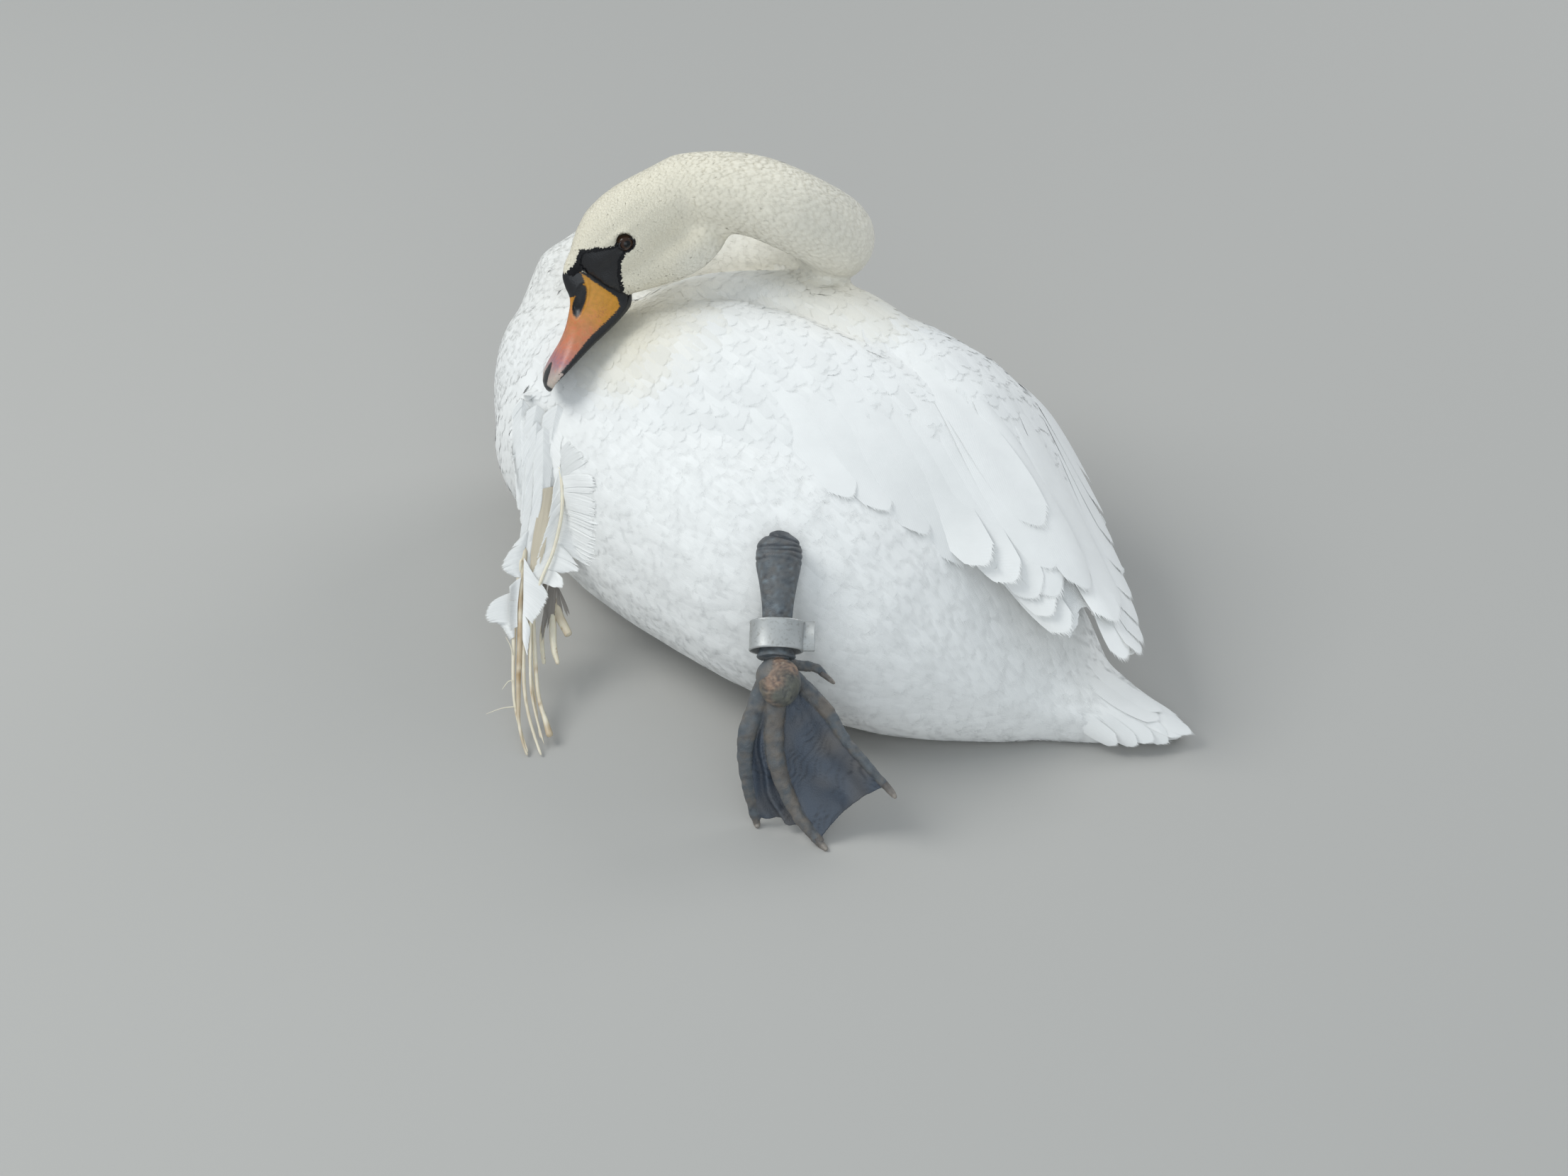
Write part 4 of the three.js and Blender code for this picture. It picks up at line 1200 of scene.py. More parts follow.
FINE_VANE = Vane([0, 0.42, 0.74], 3, 4)
BODY_VANE = Vane([0, 0.3, 0.56, 0.78], 5, 9)
WING_VANE = Vane([0, 0.2, 0.4, 0.6, 0.78, 0.93], 7, 12)
LONG_VANE = Vane(np.concatenate([np.linspace(0, 0.86, 16), [0.92, 0.972]]), 11, 24)


def width_at(v):
    """How wide a feather is along its length, as a share of its widest."""
    return (0.3 + 0.7 * np.sin(np.pi / 2 * np.clip(v / 0.62, 0, 1))) * (
        1 - 0.45 * np.clip((v - 0.68) / 0.32, 0, 1) ** 2)


def read_along(values, places):
    """Values at even steps along each trail, read at places from 0 to a little over 1."""
    last = values.shape[1] - 1
    at = np.clip(places, 0, 1.15) * last
    i = np.minimum(at.astype(int), last - 1)
    f = (at - i)[..., None]
    rows = np.arange(len(values))[:, None]
    return values[rows, i] * (1 - f) + values[rows, i + 1] * f


def side_turns(walk, halves, surface):
    """How far the skin turns away at each feather's two edges, and how far it narrows there."""
    points, normals, headings = walk
    k = points.shape[1] // 2
    side = np.cross(normals[:, k], headings[:, k])
    turns, shares = [], []
    for sign in (-1, 1):
        edge = points[:, k] + side * (sign * 0.8 * halves)[:, None]
        hit, normal, _ = surface.nearest(edge)
        turns.append(np.clip(sign * (normal * side).sum(1), -0.3, 0.9)[:, None])
        gap = np.linalg.norm(hit - edge, axis=1) / halves
        shares.append(np.clip(1.6 - 2 * gap, 0.3, 1)[:, None])
    return turns, shares


def vanes(vane, walk, lengths, halves, low, high, fray, surface):
    """Vertices and normals of many feathers of one shape."""
    turns, shares = side_turns(walk, halves, surface)
    points, normals, headings = walk
    count = len(points)
    v = np.repeat(vane.v[None], count, 0)
    u = np.repeat(vane.u[None], count, 0)
    jitter = RNG.uniform(-1, 0.5, v.shape) * fray
    blunt = 0.8 * (halves / lengths)[:, None]
    v = v * (1 - blunt * u ** 2) + np.where(vane.lock, jitter, 0)
    u = u + np.where(vane.lock, RNG.uniform(-0.09, 0.09, u.shape), 0)
    middle = read_along(points, v)
    normal = unit(read_along(normals, v))
    heading = unit(read_along(headings, v))
    side = np.cross(normal, heading)
    half = halves[:, None] * width_at(v) * np.where(u < 0, *shares)
    turn = np.where(u < 0, *turns)
    fall = (0.1 + 0.5 * turn + 0.4 * turn ** 4) * half * u ** 2
    rise = low[:, None] + (high - low)[:, None] * np.clip(v, 0, 1) ** 0.7 - fall
    rise *= np.where(v < 0.02, ROOT_SUNK, 1)
    where = middle + side * (u * half)[..., None] + normal * rise[..., None]
    where[..., 2] = np.maximum(where[..., 2], 0.4 + 0.6 * v)
    bowed = unit(normal + side * ((BOW + turn) * u)[..., None] + heading * (TIP_BOW * v ** 3)[..., None])
    local = np.stack([u * half / BARB_UNIT + 0.5, v * lengths[:, None] / BARB_UNIT], -1)
    return where, bowed, local


def coat_pieces(name, feather, vane, skin, unwrap, roots, tints, shape):
    """Feathers joined into as many pieces as their number of triangles asks for."""
    faces, weights = roots
    walk, lengths, halves, low, high, fray = shape
    where, normal, local = vanes(vane, walk, lengths, halves, low, high, fray, skin["surface"])
    root_uv = (unwrap[faces] * weights[:, :, None]).sum(1)
    patch = np.stack([vane.u * 0.5, vane.v - 0.5], -1) * PATCH
    each = len(vane.v)
    per_piece = COAT_LIMIT // len(vane.faces)
    for k, start in enumerate(range(0, len(faces), per_piece)):
        part = slice(start, start + per_piece)
        count = len(faces[part])
        corners = (vane.faces[None] + np.arange(count)[:, None, None] * each).reshape(-1, 3)
        mesh = new_mesh(f"{name}_{k + 1}", where[part].reshape(-1, 3), corners)
        loops = corners.ravel()
        bake = (root_uv[part][:, None] + patch[None]).reshape(-1, 2)
        uv_map(mesh, "OFBake", bake[loops])
        uv_map(mesh, "Barbs", local[part].reshape(-1, 2)[loops])
        color_attribute(mesh, np.repeat(tints[part], each, axis=0))
        obj = new_object(mesh.name, mesh, feather)
        mesh.normals_split_custom_set_from_vertices(normal[part].reshape(-1, 3).tolist())
        finished(obj, "white_plumage")


# ---- long feathers ------------------------------------------------------------------------------
# Each row: root x, y, tip x, y, half width, height of the tip over the skin; from the lowest layer up
LEFT_WING_LONG = [
    [156, -32, 311, -45, 15, 2],
    [170, -24, 296, -46, 14, 4],
    [20, -72, 142, -106, 17, 4],
    [42, -60, 166, -92, 17, 4.5],
    [66, -50, 192, -78, 17, 5],
    [90, -42, 218, -66, 17, 5.5],
    [112, -34, 242, -58, 17, 6],
    [130, -26, 264, -51, 17, 6.5],
    [146, -12, 280, -44, 17, 7],
    [136, 4, 290, -36, 18, 7.5],
    [118, 14, 276, -24, 18, 8],
    [96, 22, 252, -8, 18, 8.5],
]
RIGHT_WING_LONG = [
    [214, 50, 352, -34, 13, 2],
    [206, 66, 355, -20, 13, 3],
    [198, 78, 346, -6, 14, 4],
    [186, 92, 330, 10, 15, 4.5],
    [172, 104, 310, 28, 15, 5],
    [154, 116, 288, 46, 16, 5.5],
    [134, 128, 264, 66, 16, 6],
    [114, 138, 238, 88, 16, 6.5],
    [92, 146, 210, 112, 16, 7],
    [166, 72, 318, -2, 18, 7.5],
    [176, 50, 328, -18, 18, 8],
    [150, 36, 300, -16, 18, 8.5],
]
TAIL_LONG = [
    [288, -52, 352, -34, 8, 1],
    [292, -44, 364, -24, 8, 1.5],
    [296, -38, 372, -14, 8, 2],
    [300, 16, 368, 22, 9, 1.5],
    [298, 8, 378, 18, 9, 2],
    [300, -28, 380, -4, 9, 2.5],
    [302, -18, 386, 4, 9, 3],
    [304, -8, 390, 10, 9, 3.5],
    [292, -20, 366, 0, 10, 4],
    [288, -4, 362, 8, 10, 4.5],
]
LEAST_HEIGHT = 1.2             # nothing goes closer to the floor


def draped(surface, root, tip, above, steps=14):
    """Lays a path from root to tip, both (x, y), over what lies below a height, and on past its edge."""
    root, tip = np.array(root, float), np.array(tip, float)
    step = (tip - root) / steps
    stride = np.linalg.norm(step)
    points, normals = [], []
    for k in range(steps + 1):
        x, y = root + step * k
        hit, normal, _, _ = surface.tree.ray_cast((x, y, above), (0, 0, -1))
        guess = None
        if len(points) > 1:
            fall = points[-1][2] - points[-2][2]
            guess = points[-1][2] + np.clip(fall, -0.4 * stride, 0.1 * stride)
        if hit is None or (guess is not None and abs(hit[2] - guess) > 0.9 * stride):
            points.append(np.array([x, y, max(guess, LEAST_HEIGHT)]))
            normals.append(normals[-1])
        else:
            points.append(np.array([x, y, max(hit[2], LEAST_HEIGHT)]))
            normals.append(np.array(normal))
    points, normals = np.array(points), np.array(normals)
    for _ in range(3):
        normals[1:-1] = unit(normals[:-2] + normals[1:-1] * 2 + normals[2:])
        points[1:-1] = (points[:-2] + points[1:-1] * 2 + points[2:]) / 4
    headings = unit(np.gradient(points, axis=0))
    return points, unit(tangential(normals, headings)), headings


def long_feathers(name, table, above, skin, unwrap, feather):
    """A few long feathers laid one by one over the skin."""
    surface = skin["surface"]
    walks = [draped(surface, row[:2], row[2:4], above) for row in table]
    walk = tuple(np.stack([each[k] for each in walks]) for k in range(3))
    table = np.array(table, float)
    lengths = np.linalg.norm(walk[0][:, -1] - walk[0][:, 0], axis=1)
    faces = surface.nearest(walk[0][:, 0])[2]
    roots = faces, np.full((len(faces), 3), 1 / 3)
    tints = plumage_tint(walk[0][:, 0]) * RNG.uniform(0.98, 1.02, (len(faces), 1))
    high = table[:, 5] + 1.5
    shape = (walk, lengths, table[:, 4], high * 0.3, high, 0.02)
    coat_pieces(name, feather, LONG_VANE, skin, unwrap, roots, tints, shape)


# ---- markings -----------------------------------------------------------------------------------
WHITE = np.array([0.90, 0.90, 0.885])
CREAM = np.array([0.83, 0.775, 0.635])
MASK_BLACK = np.array([0.010, 0.010, 0.012])


def plumage_tint(points):
    """Cream on the head and neck, fading to white over the body."""
    head = [in_head(42, -11), in_head(-22, -12)]
    line = np.concatenate([head, smooth_rows(NECK_SPINE, np.linspace(1, 0, 30))])
    place, offset, _ = along_line(line, points)
    near = np.clip(1.9 - np.linalg.norm(offset, axis=1) / 45, 0, 1)
    return blend_colors(WHITE, CREAM, near * np.clip(1.15 - place / 520, 0, 1))


def black_tint(points):
    """The black of the face's bare skin, and of the small feathers on it."""
    return np.tile(MASK_BLACK, (len(points), 1))


def skin_tint(points):
    """The plumage's ground, with the bare black skin from the bill to the eye."""
    ragged = noisy(points, 0.9) * 0.7
    lids = (1.42 - eye_reach(points)) * EYE_OPENING[1]
    black = np.clip(np.maximum(mask_depth(points) + ragged, lids) / 0.5 + 0.5, 0, 1)[:, None]
    return plumage_tint(points) * (1 - black) + MASK_BLACK * black


# ---- materials ----------------------------------------------------------------------------------
def set_inputs(node, **inputs):
    """Sets some of a shader node's inputs; an underscore stands for a space in a name."""
    for key, value in inputs.items():
        node.inputs[key.replace("_", " ")].default_value = value


def new_material(name, roughness, **inputs):
    """A new material with a Principled shader; returns it with its nodes, links and shader."""
    made = bpy.data.materials.new(name)
    made.use_nodes = True
    nodes, links = made.node_tree.nodes, made.node_tree.links
    shader = nodes["Principled BSDF"]
    set_inputs(shader, Roughness=roughness, **inputs)
    return made, nodes, links, shader


def added(nodes, kind, **inputs):
    """A new shader node with some of its inputs set."""
    node = nodes.new("ShaderNode" + kind)
    set_inputs(node, **inputs)
    return node


def tint_node(nodes):
    """Reads the colour that each vertex carries."""
    tint = added(nodes, "Attribute")
    tint.attribute_name = "Tint"
    return tint


def tinted(nodes, links, shader, scale, low, high):
    """Base colour: the Tint attribute, broken up by noise of a scale. Returns the places it reads."""
    tint = tint_node(nodes)
    place = added(nodes, "TexCoord")
    cloud = added(nodes, "TexNoise", Scale=scale, Detail=5)
    links.new(place.outputs["Object"], cloud.inputs["Vector"])
    span = added(nodes, "MapRange", To_Min=low, To_Max=high)
    links.new(cloud.outputs["Fac"], span.inputs["Value"])
    mix = added(nodes, "VectorMath")
    mix.operation = "SCALE"
    links.new(tint.outputs["Color"], mix.inputs[0])
    links.new(span.outputs["Result"], mix.inputs["Scale"])
    links.new(mix.outputs["Vector"], shader.inputs["Base Color"])
    return place.outputs["Object"]


def bumped(nodes, links, shader, height, distance, strength):
    """Fine relief from a height, its distance in metres."""
    bump = added(nodes, "Bump", Distance=distance, Strength=strength)
    links.new(height, bump.inputs["Height"])
    links.new(bump.outputs["Normal"], shader.inputs["Normal"])


def maths(nodes, links, operation, first, second=0):
    """A sum of two values, each a number or another node's output."""
    node = added(nodes, "Math")
    node.operation = operation
    for socket, value in zip(node.inputs, (first, second)):
        if isinstance(value, (int, float)):
            socket.default_value = value
        else:
            links.new(value, socket)
    return node.outputs[0]


def plumage_material():
    """White barbs that slant away from each feather's shaft."""
    made, nodes, links, shader = new_material("plumage", 0.8, Sheen_Weight=0.2, Specular_IOR_Level=0.2)
    tinted(nodes, links, shader, 60, 0.95, 1.05)
    lanes = added(nodes, "UVMap")
    lanes.uv_map = "Barbs"
    split = added(nodes, "SeparateXYZ")
    links.new(lanes.outputs["UV"], split.inputs["Vector"])
    across = maths(nodes, links, "ABSOLUTE", maths(nodes, links, "SUBTRACT", split.outputs["X"], 0.5))
    slant = maths(nodes, links, "SUBTRACT", split.outputs["Y"], across)
    wave = maths(nodes, links, "SINE", maths(nodes, links, "MULTIPLY", slant, 280))
    bumped(nodes, links, shader, wave, 0.0002, 0.18)
    return made


def skin_material():
    """Matt under the feathers, satin where the tint is dark."""
    made, nodes, links, shader = new_material("skin", 0.8, Specular_IOR_Level=0.5)
    place = tinted(nodes, links, shader, 90, 0.8, 1.2)
    light = tint_node(nodes)
    satin = added(nodes, "MapRange", From_Max=0.5, To_Min=0.42, To_Max=0.85)
    links.new(light.outputs["Fac"], satin.inputs["Value"])
    links.new(satin.outputs["Result"], shader.inputs["Roughness"])
    grain = added(nodes, "TexVoronoi", Scale=900)
    links.new(place, grain.inputs["Vector"])
    bumped(nodes, links, shader, grain.outputs["Distance"], 0.0003, 0.6)
    return made


def horn_material(name, roughness):
    """Satin horn: the tint, broken up by noise, and fine pores."""
    made, nodes, links, shader = new_material(
        name, roughness, Specular_IOR_Level=0.5, Subsurface_Weight=0.06,
        Subsurface_Radius=(0.004, 0.0015, 0.0008),
    )
    place = tinted(nodes, links, shader, 160, 0.88, 1.12)
    pores = added(nodes, "TexNoise", Scale=700, Detail=3)
    links.new(place, pores.inputs["Vector"])
    bumped(nodes, links, shader, pores.outputs["Fac"], 0.0004, 0.45)
    return made


def alloy_material():
    """Light alloy, dulled and finely scratched by wear."""
    made, nodes, links, shader = new_material("alloy", 0.5, Metallic=0.55)
    place = added(nodes, "TexCoord")
    wear = added(nodes, "TexNoise", Scale=420, Detail=9)
    links.new(place.outputs["Object"], wear.inputs["Vector"])
    span = added(nodes, "MapRange", To_Min=0.36, To_Max=0.6)
    links.new(wear.outputs["Fac"], span.inputs["Value"])
    links.new(span.outputs["Result"], shader.inputs["Roughness"])
    grime = added(nodes, "ValToRGB")
    stops = ((0.30, (0.36, 0.36, 0.345, 1)), (0.46, (0.47, 0.48, 0.475, 1)))
    for stop, (position, color) in zip(grime.color_ramp.elements, stops):
        stop.position = position
        stop.color = color
    links.new(wear.outputs["Fac"], grime.inputs["Fac"])
    links.new(grime.outputs["Color"], shader.inputs["Base Color"])
    bumped(nodes, links, shader, wear.outputs["Fac"], 0.0003, 0.25)
    return made


def eye_material(name):
    """A dark ball under a clear, wet gloss."""
    made, nodes, links, shader = new_material(
        name + "_wet", 0.3, Specular_IOR_Level=0.15, Coat_Weight=0.7, Coat_Roughness=0.03, Coat_IOR=1.38
    )
    tinted(nodes, links, shader, 900, 0.7, 1.3)
    return made


# ---- the broken wing ----------------------------------------------------------------------------
# Its places are (along, across, out): a share of the line it hangs in, from the wrist down to the
# floor, then millimetres towards the tail's side and away from the body
HANG = np.array([
    [-101, -191, 166], [-93, -204, 137], [-90, -217, 106], [-83, -234, 80],
    [-68, -257, 60], [-45, -285, 38], [-24, -304, 18], [0, -322, 2],
], float)
HANG_ACROSS = np.array([0.777, 0.629, 0.0])
HANG_OUT = np.array([0.515, -0.637, 0.574])
HANG_LIFT = 4.5                # over the skin, where a vane lies on it

QUILL_CREAM = np.array([0.83, 0.77, 0.62])
QUILL_BROWN = np.array([0.40, 0.26, 0.12])
INNER_TAN = np.array([0.64, 0.57, 0.45])
# painted shade: the grey of the wisps that lie behind the hand, where its shade falls
DOWN_SHADE_GREY = np.array([0.30, 0.275, 0.25])

# Each shaft: [path, radii along it, how much brown at its start, middle and end]
SHAFTS = [
    [[(-0.1, 4, -22), (-0.03, 8, -14), (0.08, 13, -8), (0.2, 15.5, -4), (0.32, 14, -1), (0.42, 8.5, 2),
      (0.53, 4, 1), (0.66, 5, 0), (0.8, 5, 0), (0.95, 8, 0)], [1.0, 1.35, 1.35, 1.2, 0.9], [0, 0, 0.35]],
    [[(0.3, -9, -6), (0.48, -6, -1), (0.62, -3.5, 1), (0.76, -5, 1), (0.9, -8.5, 0), (1.0, -7, 0)],
     [2.4, 2.5, 2.0, 1.4, 1.0], [0.6, 1, 0.3]],
    [[(0.34, -10, -3), (0.5, -9.5, -2), (0.68, -8.5, -2), (0.84, -9.5, -2), (0.98, -6, 0)],
     [1.9, 1.8, 1.6, 1.2, 0.8], [0.2, 0.1, 0.3]],
    [[(0.4, -1, -3), (0.55, -1.5, -1), (0.68, -0.5, 0), (0.84, 0, 0), (1.0, 4, 0)],
     [1.9, 1.8, 1.6, 1.3, 1.0], [0.1, 0.25, 0.3]],
    [[(0.42, 4, -5), (0.55, 3, -4), (0.68, 4.5, -4), (0.8, 6.5, -3), (0.93, 6, -1)],
     [1.5, 1.5, 1.3, 1.0, 0.6], [0.1, 0.3, 0.5]],
    [[(0.44, 5, -7), (0.56, 5.5, -6), (0.68, 8.5, -5), (0.8, 10, -3), (0.87, 12.5, -2), (0.925, 14, -1)],
     [1.7, 1.8, 1.8, 1.9, 2.9], [0.1, 0.15, 0.8]],
    [[(0.56, 14, -20), (0.61, 12, -19), (0.69, 14.5, -17)], [1.7, 1.9, 1.5], [0.6, 0.1, 0.1]],
    [[(0.5, 18, -22), (0.57, 20, -20), (0.64, 22, -17), (0.69, 26, -15)], [3.0, 3.0, 2.6, 1.6], [0, 0, 0.25]],
    [[(0.49, 21, -21), (0.55, 25, -19), (0.61, 34, -16)], [3.4, 3.6, 3.3], [0.35, 0.4, 0.5]],
    [[(0.735, -9, 0), (0.74, -13, 1), (0.765, -18, 2)], [0.4, 0.35, 0.15], [0, 0, 0]],
    [[(0.825, -10, 0), (0.83, -20, 2), (0.85, -33, 3)], [0.5, 0.4, 0.15], [0, 0, 0]],
    [[(0.66, -9, 0), (0.635, -11, 1), (0.61, -15, 2)], [0.4, 0.35, 0.15], [0, 0, 0]],
]
# Each vane: [barbs' roots, barbs' tips, how many, into how many locks, how tight, curl of the tips, tint]
VANES = [
    [[(0.1, -3, -11), (0.09, 9, -12)], [(0.43, -2, -5), (0.45, 4, -4)], 70, 4, 0.15, 0, INNER_TAN],
    [[(-0.035, 10, -15), (0.02, 12, -14), (0.07, 14, -12)],
     [(-0.08, 18, -12), (-0.045, 28, -11), (-0.012, 38, -10)], 120, 9, 0.35, 2, WHITE],
    [[(0.06, 14, -12), (0.11, 15, -11)], [(0.055, 40, -9), (0.085, 44, -8), (0.11, 43, -8)],
     90, 3, 0.3, 2, WHITE],
    [[(0.11, 15, -11), (0.2, 15.5, -8)], [(0.13, 45, -8), (0.19, 47, -7), (0.25, 51, -7)],
     150, 4, 0.25, 2, WHITE],
    [[(0.2, 15.5, -8), (0.31, 14.5, -5)], [(0.26, 52, -7), (0.32, 54, -6), (0.39, 53, -5)],
     150, 3, 0.25, 2, WHITE],
    [[(0.29, 15, -5), (0.38, 12, -3)],
     [(0.3, 22, -3), (0.345, 33, 1), (0.39, 41, 3), (0.395, 33, 2), (0.4, 26, 0)], 100, 2, 0.2, 2, WHITE],
    [[(0.37, 12, -4), (0.43, 9, -3)], [(0.4, 26, -1), (0.45, 29, 0), (0.45, 24, 0), (0.445, 18, -1)],
     70, 1, 0.3, -2, WHITE],
    [[(0.03, 11.5, -11), (0.12, 14.5, -9), (0.2, 15, -7), (0.32, 13.5, -4), (0.42, 8, -1), (0.52, 4, 1)],
     [(0.1, 6, -7), (0.19, 5, -5), (0.27, 3.5, -3), (0.36, 0.5, -1), (0.45, -3, 0), (0.56, -1, 1)],
     260, 7, 0.06, 0, WHITE],
    [[(0.24, -9, -8), (0.34, -9, -4), (0.41, -7, -2)],
     [(0.27, -15, -6), (0.31, -22, -1), (0.37, -27, 3), (0.395, -22, 3), (0.41, -13, 1)],
     130, 2, 0.12, 4, WHITE],
    [[(0.34, -8, -1), (0.43, -5, 2), (0.5, -3, 3), (0.62, -1, 2)],
     [(0.42, 1, 2), (0.475, 17, 3), (0.53, 14, 5), (0.585, 6, 4), (0.67, 3, 2)], 200, 2, 0.15, 2, WHITE],
    [[(0.41, -8, 0), (0.5, -7.5, 2), (0.58, -6, 2)], [(0.445, -17, 2), (0.49, -15, 4), (0.6, -12, 3)],
     100, 2, 0.15, -4, WHITE],
    [[(0.46, -10, -3), (0.52, -10, -1), (0.61, -8, 0)],
     [(0.485, -21, 0), (0.495, -29, 4), (0.53, -34, 7), (0.565, -33, 6), (0.575, -23, 3), (0.625, -12, 1)],
     150, 3, 0.2, 6, WHITE],
    # the last two lie behind the hand, in a grey that is painted shade
    [[(0.38, 15, -14), (0.44, 20, -19)], [(0.62, 10, -16), (0.6, 18, -20), (0.55, 35, -17)],
     60, 14, 0.7, 2, DOWN_SHADE_GREY],
    [[(0.4, 12, -9), (0.46, 9, -8)], [(0.66, 12, -12), (0.57, 17, -12)], 24, 8, 0.6, 0, DOWN_SHADE_GREY],
]
# Covert feathers over the hand: [path, half width near the start and near the end]
COVERTS = [
    [[(-0.22, -23, -30), (-0.1, -23, -27), (0.04, -20, -24), (0.17, -16, -19)], 9, 6],
    [[(-0.2, -11, -25), (-0.06, -14, -20), (0.22, -13, -14)], 9, 5],
    [[(-0.2, 6, -20), (-0.1, 3, -18), (0.02, 2, -15), (0.14, 2, -12)], 11, 9],
    [[(-0.14, -10, -20), (0.0, -10, -17), (0.2, -10, -12), (0.36, -9, -7)], 9, 4.5],
    [[(-0.12, -4, -18), (-0.02, -3, -15), (0.14, -3, -10), (0.37, -5, -5)], 10, 5],
]
# The two vanes of a covert: [barbs, locks, how tight, curl of the tips, tint, how much is tucked in]
COVERT_VANE = [190, 6, 0.04, 0, WHITE, 0.4]
BARB_STEPS = 7                 # vertices along a barb
BARB_SHAPE = np.sqrt(1 - np.linspace(0, 1, BARB_STEPS) ** 3)
SHAFT_STEPS = (40, 10)
SETTLE_FROM = 50               # how far out the search for the skin under a barb begins


def hung(places):
    """Points for places on the hanging wing."""
    places = np.asarray(places, float)
    before = np.minimum(places[:, :1], 0) * (len(HANG) - 1) * (HANG[1] - HANG[0])
    line = smooth_rows(HANG, np.clip(places[:, 0], 0, 1)) + before
    return line + places[:, 1:2] * HANG_ACROSS + places[:, 2:3] * HANG_OUT


def settled(points, surface, lift):
    """Points moved outwards to lie over the skin wherever they would be under it."""
    moved = points.reshape(-1, 3).copy()
    for k, start in enumerate((moved + HANG_OUT * SETTLE_FROM).tolist()):
        hit = surface.tree.ray_cast(start, (-HANG_OUT).tolist(), SETTLE_FROM + 25)
        if hit[0] is not None:
            moved[k] += HANG_OUT * max(SETTLE_FROM + lift[k] - hit[3], 0)
    return moved.reshape(points.shape)


def shaft_parts():
    """The bare shafts, as tubes with ragged ends; points, faces and tints."""
    parts, tints = [], []
    t = np.linspace(0, 1, SHAFT_STEPS[0])
    blunt = np.sqrt(np.clip((1 - np.abs(2 * t - 1)) * 14, 0.0004, 1))
    for path, radii, browns in SHAFTS:
        radius = smooth_rows(np.array(radii, float)[:, None], t)[:, 0]
        wide = radius * blunt
        line = hung(smooth_rows(np.array(path, float), t))
        points, faces, along, _ = limb(line, wide, wide * 0.85, wide * 0.8, HANG_OUT, *SHAFT_STEPS)
        points = points + 0.07 * radius.max() * noisy(points, 0.16)[:, None] * normals_of(points, faces)
        points[:, 2] = np.maximum(points[:, 2], FLOOR_GAP)
        brown = smooth_rows(np.array(browns, float)[:, None], along)[:, 0]
        stain = brown * (0.75 + 0.9 * noisy(points, 0.09)) + 0.5 * (noisy(points, 0.3) > 0.55)
        parts.append((points, faces))
        tints.append(blend_colors(QUILL_CREAM, QUILL_BROWN, stain) * RNG.uniform(0.95, 1.04))
    return merged(parts) + (np.concatenate(tints),)


def barb_lines(roots, tips, places, locks, tightness, curl, surface, tucked):
    """A curved line for each barb of a torn vane, drawn together into locks and laid over the skin."""
    count = len(places)
    bounds = np.sort(np.concatenate([[0, 1], RNG.uniform(0.08, 0.92, locks - 1)]))
    lock = np.clip(np.searchsorted(bounds, places) - 1, 0, locks - 1)
    middle = (bounds[lock] + bounds[lock + 1]) / 2
    gathered = middle + (places - middle) * (1 - tightness)
    first = hung(smooth_rows(np.array(roots, float), places))
    last = hung(smooth_rows(np.array(tips, float), gathered))
    short = RNG.uniform(0.9, 1.0, count) - 0.12 * RNG.random(locks)[lock]
    last = first + (last - first) * short[:, None]
    down = unit(hung([[0.5, 0, 0]]) - hung([[0.35, 0, 0]]))
    length = np.linalg.norm(last - first, axis=1)[:, None]
    bend = (first + last) / 2 - down * length * 0.09 + HANG_OUT * curl * 0.4
    v = np.linspace(0, 1, BARB_STEPS)[None, :, None]
    first, last, bend = first[:, None], (last - HANG_OUT * curl)[:, None], bend[:, None]
    line = first * (1 - v) ** 2 + bend * 2 * v * (1 - v) + last * v ** 2
    lift = HANG_LIFT * np.clip((places + 0.02) / (tucked + 0.01), 0, 1)
    line = settled(line, surface, np.repeat(lift, BARB_STEPS))
    over = 0.06 * (np.arange(count) % 3) + 0.7 * RNG.random(locks)[lock]
    return line + HANG_OUT * over[:, None, None]


def barb_sheet(roots, tips, count, locks, tightness, curl, tint, surface, tucked=0):
    """A torn vane of barbs side by side: points, faces, normals, tints and UVs."""
    s = (np.arange(count) + 0.5) / count
    line = barb_lines(roots, tips, s, locks, tightness, curl, surface, tucked)
    gaps = np.linalg.norm(np.diff(line, axis=0), axis=2)
    spacing = np.minimum(np.vstack([gaps, gaps[-1:]]), np.vstack([gaps[:1], gaps]))
    half = (0.8 * spacing + 0.15) * BARB_SHAPE
    ahead = unit(np.gradient(line, axis=1))
    side = unit(np.cross(ahead, HANG_OUT))
    edges = np.stack([line - side * half[..., None], line + side * half[..., None]], 2)
    front = np.cross(side, ahead)
    shade = np.stack([front - side * 0.14, front + side * 0.14], 2)
    k = np.arange(count)[:, None] * BARB_STEPS * 2 + np.arange(BARB_STEPS - 1) * 2
    faces = np.stack([k, k + 1, k + 3, k, k + 3, k + 2], -1).reshape(-1, 3)
    streak = RNG.uniform(0.96, 1.03, (count, 1, 1, 1))
    tints = np.broadcast_to(tint * streak, edges.shape)
    u = np.broadcast_to((s[:, None, None] + np.array([-0.4, 0.4]) / count), edges.shape[:3])
    v = np.linspace(0, 1, BARB_STEPS)[None, :, None]
    uv = np.stack([u, np.broadcast_to(v, edges.shape[:3])], -1)
    return [each.reshape(-1, each.shape[-1]) for each in (edges, faces, unit(shade), tints, uv)]


